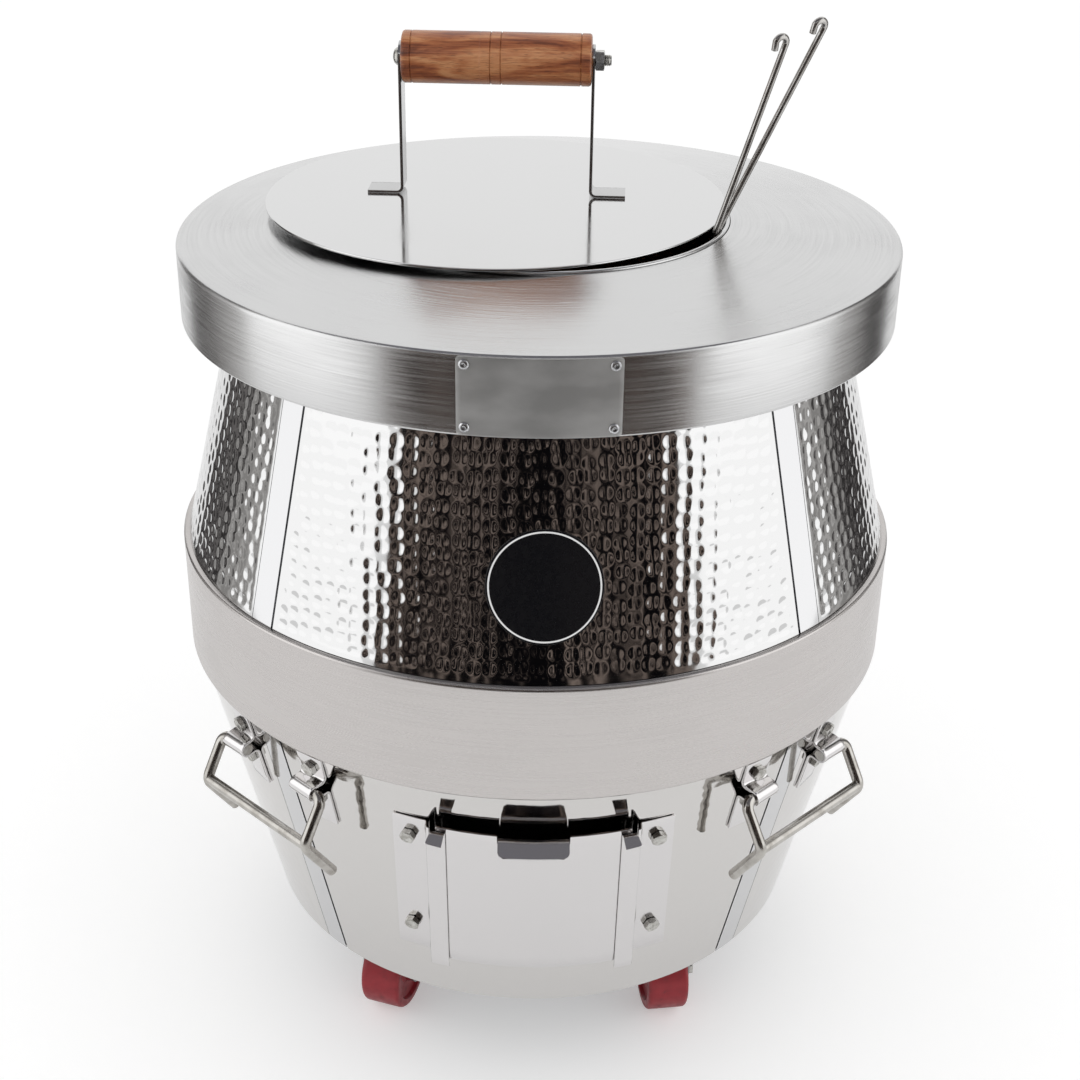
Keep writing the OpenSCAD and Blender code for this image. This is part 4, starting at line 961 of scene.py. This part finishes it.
place(badge_disc(), "badge_black", [printed_vinyl], "front_badge")


# ---------------------------------------------------------------- lid

lid_frame = Matrix.Translation((*LID_AT, LID_Z + LID_T)) @ Matrix.Rotation(LID_TURN, 4, "Z")
handle_frame = lid_frame @ Matrix.Translation((0, STRAP_BACK, 0))
edge = rounded([(100, -LID_T), (LID_R, -LID_T), (LID_R, 0), (100, 0)], [0, 0.7, 0.7, 0], 3)
disc = lathe("lid", [(0, -LID_T), *edge, (50, 0), (0, 0)], 288)
place(moved(disc, lid_frame), "satin_steel", [lid_steel], "lid_plate")


def strap_sheet():
    """The right-hand strip: a foot on the lid, a bend, and an upright with a round end about the bolt."""
    outer, half = GRIP_L / 2 + SEAT + STRAP_T, STRAP_W / 2
    bend = rounded([(outer + STRAP_FOOT, 0, STRAP_T), (outer, 0, STRAP_T), (outer, 0, GRIP_Z)], 3.0, 6)
    path = [(p, half) for p in bend[:-1]] + [(Vector((outer, 0, z)), half) for z in (35, 65, GRIP_Z)]
    for a in [math.radians(d) for d in (15, 30, 45, 60, 72, 82, 88)]:
        path.append((Vector((outer, 0, GRIP_Z + half * math.sin(a))), half * math.cos(a)))
    rows = [[p + Vector((0, wide * (2 * k / 8 - 1), 0)) for k in range(9)] for p, wide in path]
    return pressed_sheet("strap", rows, STRAP_T, edge=0.3)


right_strap = strap_sheet()
left_strap = moved(right_strap.copy(), Matrix.Scale(-1, 4, (1, 0, 0)))
place(moved(right_strap, handle_frame), "satin_steel", [strip_steel], "lid_strap_right")
place(moved(left_strap, handle_frame), "satin_steel", [strip_steel], "lid_strap_left")

# The grip: turned wood with grooves whose bottoms are coloured nearly black, each with its place from the
# left end, depth and half width
grip_frame = handle_frame @ Matrix.Translation((-GRIP_L / 2, 0, GRIP_Z))
grip_frame = grip_frame @ Matrix.Rotation(math.pi / 2, 4, "Y")
wood_r = GRIP_D / 2
left_end = [(BORE_R, 0.0), (wood_r - 2.2, 0.0), (wood_r - 0.7, 0.5), (wood_r, 1.8)]
profile, bands = left_end[:], [0] * 4
for at, deep, half in ((6.8, 0.7, 0.55), (55.2, 0.12, 0.25), (62.4, 0.7, 0.5), (69.8, 0.7, 0.5),
                       (125.6, 0.75, 0.6)):
    profile += [(wood_r, at - half - 1.2), (wood_r, at - half), (wood_r - deep, at - half * 0.3),
                (wood_r - deep, at + half * 0.3), (wood_r, at + half), (wood_r, at + half + 1.2)]
    bands += [0, 1, 1, 1, 0, 0]
profile += [(r, GRIP_L - z) for r, z in left_end[::-1]]
grip = lathe("grip", profile, 96, bands + [0] * 4)
place(moved(grip, grip_frame), "oiled_wood", [oiled_wood, dark_groove], "lid_grip")

# The through bolt: a domed head on the left and a threaded end that stands 5 mm out of the nut on the right
start, nut_h = -(SEAT + STRAP_T), 6.4
end = GRIP_L + SEAT + STRAP_T + nut_h + 5
dome = [(0, -4.5), (2.5, -4.3), (4.6, -3.5), (5.9, -2.0), (6.4, -0.5), (6.4, 0), (4, 0)]
thread = [(r, end - 14 + 1.25 * k + z) for k in range(11) for r, z in ((3.95, 0), (3.45, 0.55))]
bolt_line = [(r, start + z) for r, z in dome] + [(4, end - 15), *thread, (3.3, end - 0.1), (0, end)]
place(moved(lathe("grip_bolt", bolt_line, 48), grip_frame), "bolt_zinc", [zinc_bolt], "grip_bolt")

below = [circle(4.1, 0.5), circle(4.6, 0.0), circle(6.1, 0.0), hexagon(12.8, 0.0, 6.1, -0.5)]
above = [hexagon(12.8, nut_h, 6.1, 0.5), circle(6.1, nut_h), circle(4.6, nut_h), circle(4.1, nut_h - 0.5)]
nut = stack("nut", below + above, loop=True)
nut_at = Matrix.Translation((0, 0, GRIP_L + SEAT + STRAP_T + SKIN))
place(moved(nut, grip_frame @ nut_at), "bolt_zinc", [zinc_bolt], "grip_nut")


# ---------------------------------------------------------------- rods

def rod(lines, matrix, finish_, radius, sides, point=0.0):
    """Rods along lines of points."""
    made = []
    for line in lines:
        mesh = bpy.data.meshes.new("line")
        steps = [(k, k + 1) for k in range(len(line) - 1)]
        mesh.from_pydata([tuple(matrix @ Vector(p)) for p in line], steps, [])
        made.append(merged(grown(bent_rod, mesh, Radius=radius, Sides=sides, Point=point, Finish=finish_)))
    whole = joined("rods", made)
    whole.materials.append(finish_)
    return whole


for word, degrees in HANDLE_SIDES.items():
    spot = lower.frame(math.radians(degrees), HANDLE_Z) @ Matrix.Translation((0, -PIN_STAND, 0))
    spot = spot @ Matrix.Rotation(-ARM_LEAN - lower.tilt, 4, "X")
    foot = (LEG_L * math.sin(LEG_TURN), -ARM_L - LEG_L * math.cos(LEG_TURN))
    lines = [rounded([(s * (SADDLE_X - SADDLE_W / 2), 0, 0), (s * ARM_X, 0, 0), (s * ARM_X, 0, -ARM_L),
                      (s * ARM_X, *foot)], [0, PIN_BEND_R, BEND_R, 0], 8, guard=0.05) for s in (-1, 1)]
    # The long bar meets both ends in the middle of their lower bend
    mid = LEG_TURN / 2
    bar = (BEND_R * (1 - math.cos(mid)), -(ARM_L - BEND_R * math.tan(mid)) - BEND_R * math.sin(mid))
    lines.append([(x, *bar) for x in (-ARM_X, -20, 20, ARM_X)])
    place(rod(lines, spot, handle_rod, HANDLE_ROD_R, 32), "handle_rod", None, "handle_" + word, crease=50)


def skewer_line(foot, out):
    """A skewer's lean and its length, from the pot's floor over the mouth's edge, and as far out as given."""
    rise = MOUTH_Z - POT_FLOOR_Z - SEAT
    first = math.atan((MOUTH_R + foot) / rise)
    reach = MOUTH_R - (SKEWER_R + SEAT) / math.cos(first) + foot
    return math.atan(reach / rise), math.hypot(reach, rise) + out


HOOK_R, HOOK_END = 4.6, 6
for word, degrees, foot, out in (("short", 68.9, 10.7, 137), ("long", 71.9, 73.5, 154)):
    lean, length = skewer_line(foot, out)
    spot = Matrix.Rotation(math.radians(degrees), 4, "Z") @ Matrix.Translation((0, foot, POT_FLOOR_Z + SEAT))
    turn = Matrix.Translation((0, 0, length)) @ Matrix.Rotation(math.radians(180 - degrees / 2), 4, "Z")
    ups = [0, 4, 8, 12] + [length * k / 6 for k in range(1, 6)] + [length - 2]
    line = [Vector((0, 0, up)) for up in ups]
    for t in [math.radians(a) for a in range(180, 14, -11)]:
        line.append(turn @ Vector((HOOK_R + HOOK_R * math.cos(t), 0, HOOK_R * math.sin(t))))
    # The hook's end runs on straight
    t = math.radians(15)
    line.append(turn @ Vector((HOOK_R + HOOK_R * math.cos(t) - HOOK_END * math.sin(t), 0,
                               HOOK_R * math.sin(t) - HOOK_END * math.cos(t))))
    skewer = rod([line], spot @ Matrix.Rotation(lean, 4, "X"), skewer_rod, SKEWER_R, 20, 12.0)
    place(skewer, "skewer_steel", None, "skewer_" + word, "skewer_" + word + "_hook", crease=60)


# ---------------------------------------------------------------- saddles

def saddle_sheet(degrees, s):
    """One strap saddle: pressed over the rod in the middle, with two flanges on the barrel."""
    spot = lower.frame(math.radians(degrees), HANDLE_Z)
    side = math.radians(degrees) + s * saddle_turn
    r = BORE_R + SADDLE_T
    columns = []
    for k in range(9):
        across = SADDLE_W * (k / 8 - 0.5)

        def flange(up):
            z = HANDLE_Z + up * math.cos(lower.tilt)
            return lower.point(side + math.asin(across / lower.radius(z)), z, SADDLE_T + SKIN)

        arch = [spot @ Vector((s * SADDLE_X + across, -PIN_STAND - r * math.cos(a), r * math.sin(a)))
                for a in [math.radians(d) for d in range(-90, 91, 15)]]
        below = rounded([flange(-SADDLE_DOWN), flange(-r), arch[0]], [0, 2.4, 0], 4)
        above = rounded([arch[-1], flange(r), flange(SADDLE_UP)], [0, 2.4, 0], 4)
        columns.append([flange(-SADDLE_DOWN), flange(-28), flange(-20)] + below[1:-1] + arch + above[1:-1]
                       + [flange(16), flange(SADDLE_UP)])
    return pressed_sheet("saddle", [list(row) for row in zip(*columns)], SADDLE_T, edge=0.3)


place(joined("saddles", [saddle_sheet(d, s) for d in HANDLE_SIDES.values() for s in (-1, 1)]),
      "satin_steel", [sheet_steel], "handle_saddles")


# ---------------------------------------------------------------- casters

def softened(node, slot, finish_, width):
    """A pressed or machined node with its edges broken, which stands for the node."""
    mesh = frame["nodes"][node].data.copy()
    mesh.transform(Matrix.Scale(1 / MM, 4))
    work = bmesh.new()
    work.from_mesh(mesh)
    bmesh.ops.remove_doubles(work, verts=work.verts, dist=0.001)
    bmesh.ops.dissolve_limit(work, angle_limit=math.radians(0.5), verts=work.verts, edges=work.edges)
    work.to_mesh(mesh)
    work.free()
    mesh.materials.clear()
    place(dressed(mesh, eased(width, 50)), slot, [finish_], node)


def wheel_mesh():
    """A cast wheel: crowned red tread on a dished nylon centre with a bearing hub."""
    half = WHEEL_W / 2
    tread = rounded([(24, -half + 3), (25, -half), (WHEEL_R, -half),
                     (WHEEL_R, half), (25, half), (24, half - 3)], [0, 0.6, 3.2, 3.2, 0.6, 0], 5)
    centre = [(23.4, half - 3.1), (22.6, half - 3.6), (13, half - 4.2), (11, half - 3), (10.4, half - 2.4),
              (10.2, half + 0.7), (9.8, half + 1), (BORE_R, half + 1)]
    profile = tread + [Vector(p) for p in centre + [(r, -z) for r, z in centre[::-1]]]
    bands = [0] * (len(tread) - 1) + [1] * (2 * len(centre) + 1)
    return lathe("wheel", profile, 72, bands)


for word, (x, y, turn) in CASTERS.items():
    spot = Matrix.Translation((x, y, 0)) @ Matrix.Rotation(math.radians(turn), 4, "Z")
    spot = spot @ Matrix.Translation((0, -TRAIL, WHEEL_R)) @ Matrix.Rotation(math.pi / 2, 4, "Y")
    place(moved(wheel_mesh(), spot), "wheel_red", [red_urethane, black_nylon], "caster_wheel_" + word)
    softened("caster_fork_" + word, "caster_zinc", zinc_caster, 0.35)
    softened("caster_axle_" + word, "bolt_zinc", zinc_bolt, 0.3)
softened("caster_plates", "caster_zinc", zinc_caster, 0.4)

# Pieces inside the body keep their CAD shape
for node, inner in (("inner_frame", mill_steel), ("base_plate", mill_steel), ("draught_tunnel", mill_steel),
                    ("insulation", ceramic_wool)):
    for slot in frame["nodes"][node].material_slots:
        slot.material = inner


# ---------------------------------------------------------------- stage, light and camera

def glowing(tree, colour, strength):
    return add(tree, "ShaderNodeEmission", {"Color": colour, "Strength": strength}).outputs[0]


def paper_finish(name, colour, seen, plain):
    """Stage paper: matt to the lamps, and lifted by a glow that only the camera and mirrors see."""
    made, tree = bare(name)
    path = add(tree, "ShaderNodeLightPath").outputs
    direct = calc(tree, "MAXIMUM", path["Is Camera Ray"], path["Is Transmission Ray"])
    mirrored = calc(tree, "MULTIPLY", path["Is Glossy Ray"], seen * 0.75)
    power = calc(tree, "ADD", calc(tree, "MULTIPLY", direct, seen), mirrored)
    paper = add(tree, "ShaderNodeBsdfDiffuse", {"Color": linear(plain)}).outputs[0]
    both = add(tree, "ShaderNodeAddShader", {0: paper, 1: glowing(tree, linear(colour), power)}).outputs[0]
    add(tree, "ShaderNodeOutputMaterial", {"Surface": both})
    return made


def staged(name, points, faces, material):
    mesh = bpy.data.meshes.new(name)
    mesh.from_pydata(points, [], faces)
    mesh.materials.append(material)
    thing = held(name, mesh)
    return thing


def mirrored_only(thing):
    """Takes a thing from every ray but those of the mirrors."""
    thing.visible_camera = thing.visible_diffuse = thing.visible_shadow = thing.visible_transmission = False


def curtain(name, start, end, high, dark, bright, folds_per_metre, radius=1.15):
    """A cloth in folds that stands round part of the object and shows only in its mirror surfaces."""
    made, tree = bare(name)
    where = add(tree, "ShaderNodeTexCoord").outputs["Object"]
    folds = noise(tree, where, (folds_per_metre, folds_per_metre, 0.6), 3.0)
    colour = tinted(tree, folds, [(0.38, dark), (0.46, bright), (0.52, dark), (0.6, dark), (0.7, bright)])
    add(tree, "ShaderNodeOutputMaterial", {"Surface": glowing(tree, colour, 1.0)})
    count = 24
    turns = [math.radians(start + (end - start) * k / count) for k in range(count + 1)]
    points = [(radius * math.sin(a), -radius * math.cos(a), z) for z in (0.0, high) for a in turns]
    mirrored_only(staged(name, points, grid(count + 1, 2), made))


def softbox(name, degrees):
    """A large soft lamp, a hand's width above the floor, that faces the object. The white room shines behind
    it too, so its own radiance only lifts it above the room's."""
    distance, wide, high, foot, radiance = 1.2, 0.97, 1.5, 0.16, 0.36
    data = bpy.data.lights.new(name, "AREA")
    data.shape = "RECTANGLE"
    data.size, data.size_y = wide, high
    data.energy = 4 * radiance * wide * high
    lamp = held(name, data)
    a = math.radians(degrees)
    lamp.location = (distance * math.sin(a), -distance * math.cos(a), high / 2 + foot)
    lamp.rotation_euler = (math.pi / 2, 0, a)


def sheet_at(z, left, right, near, far):
    """The corners of a level sheet."""
    return [(left, near, z), (right, near, z), (right, far, z), (left, far, z)]


studio_paper = paper_finish("studio_paper", "#ffffff", 0.32, "#e9e9e9")
staged("floor", sheet_at(0, -12, 12, -12, 12), [(0, 1, 2, 3)], studio_paper)

# Dark cloth before the object, pale drapes beside it and grey cloth behind them, in degrees from the front
curtain("front_curtain", -43, 43, 1.3, "#0b0a0c", "#85776f", 9)
curtain("left_drape", -106, -91, 1.5, "#969492", "#c4c2c0", 5)
curtain("right_drape", 91, 106, 1.5, "#969492", "#c4c2c0", 5)
curtain("left_curtain", -128, -106, 1.5, "#353333", "#787574", 6)
curtain("right_curtain", 106, 128, 1.5, "#353333", "#787574", 6)

# The unlit ceiling before the object, which darkens what faces it: the door's tab, the ears and the rods
unlit, unlit_tree = bare("unlit_ceiling")
add(unlit_tree, "ShaderNodeOutputMaterial", {"Surface": glowing(unlit_tree, linear("#76757a"), 1.0)})
mirrored_only(staged("ceiling", sheet_at(1.75, -1.1, 1.1, -1.4, 0.25), [(0, 1, 2, 3)], unlit))

softbox("left_softbox", -69)
softbox("right_softbox", 69)

# The white room, a little dimmer as light than it is seen
world = bpy.data.worlds.new("studio")
bpy.context.scene.world = world
world.use_nodes = True
tree = world.node_tree
tree.nodes.clear()
path = add(tree, "ShaderNodeLightPath").outputs
looked = calc(tree, "MAXIMUM", path["Is Camera Ray"], path["Is Glossy Ray"])
looked = calc(tree, "MAXIMUM", looked, path["Is Transmission Ray"])
strength = ranged(tree, looked, 0.85, 1.0, 0.0, 1.0)
sky = add(tree, "ShaderNodeBackground", {"Color": (1, 1, 1, 1), "Strength": strength}).outputs[0]
add(tree, "ShaderNodeOutputWorld", {"Surface": sky})

# The camera, solved from the barrel's outlines
CAMERA_AT, CAMERA_PITCH, CAMERA_ROLL = (-0.0071, -1.2098, 0.9833), math.radians(62.73), 0.0101
camera_data = bpy.data.cameras.new("camera")
camera_data.lens, camera_data.sensor_width, camera_data.shift_x = 58.57, 36, 0.013
camera_data.clip_start = 0.05
camera = held("camera", camera_data)
camera.matrix_world = (Matrix.Translation(CAMERA_AT) @ Matrix.Rotation(CAMERA_PITCH, 4, "X")
                       @ Matrix.Rotation(CAMERA_ROLL, 4, "Z"))
bpy.context.scene.camera = camera
bpy.context.scene.view_settings.view_transform = "Standard"
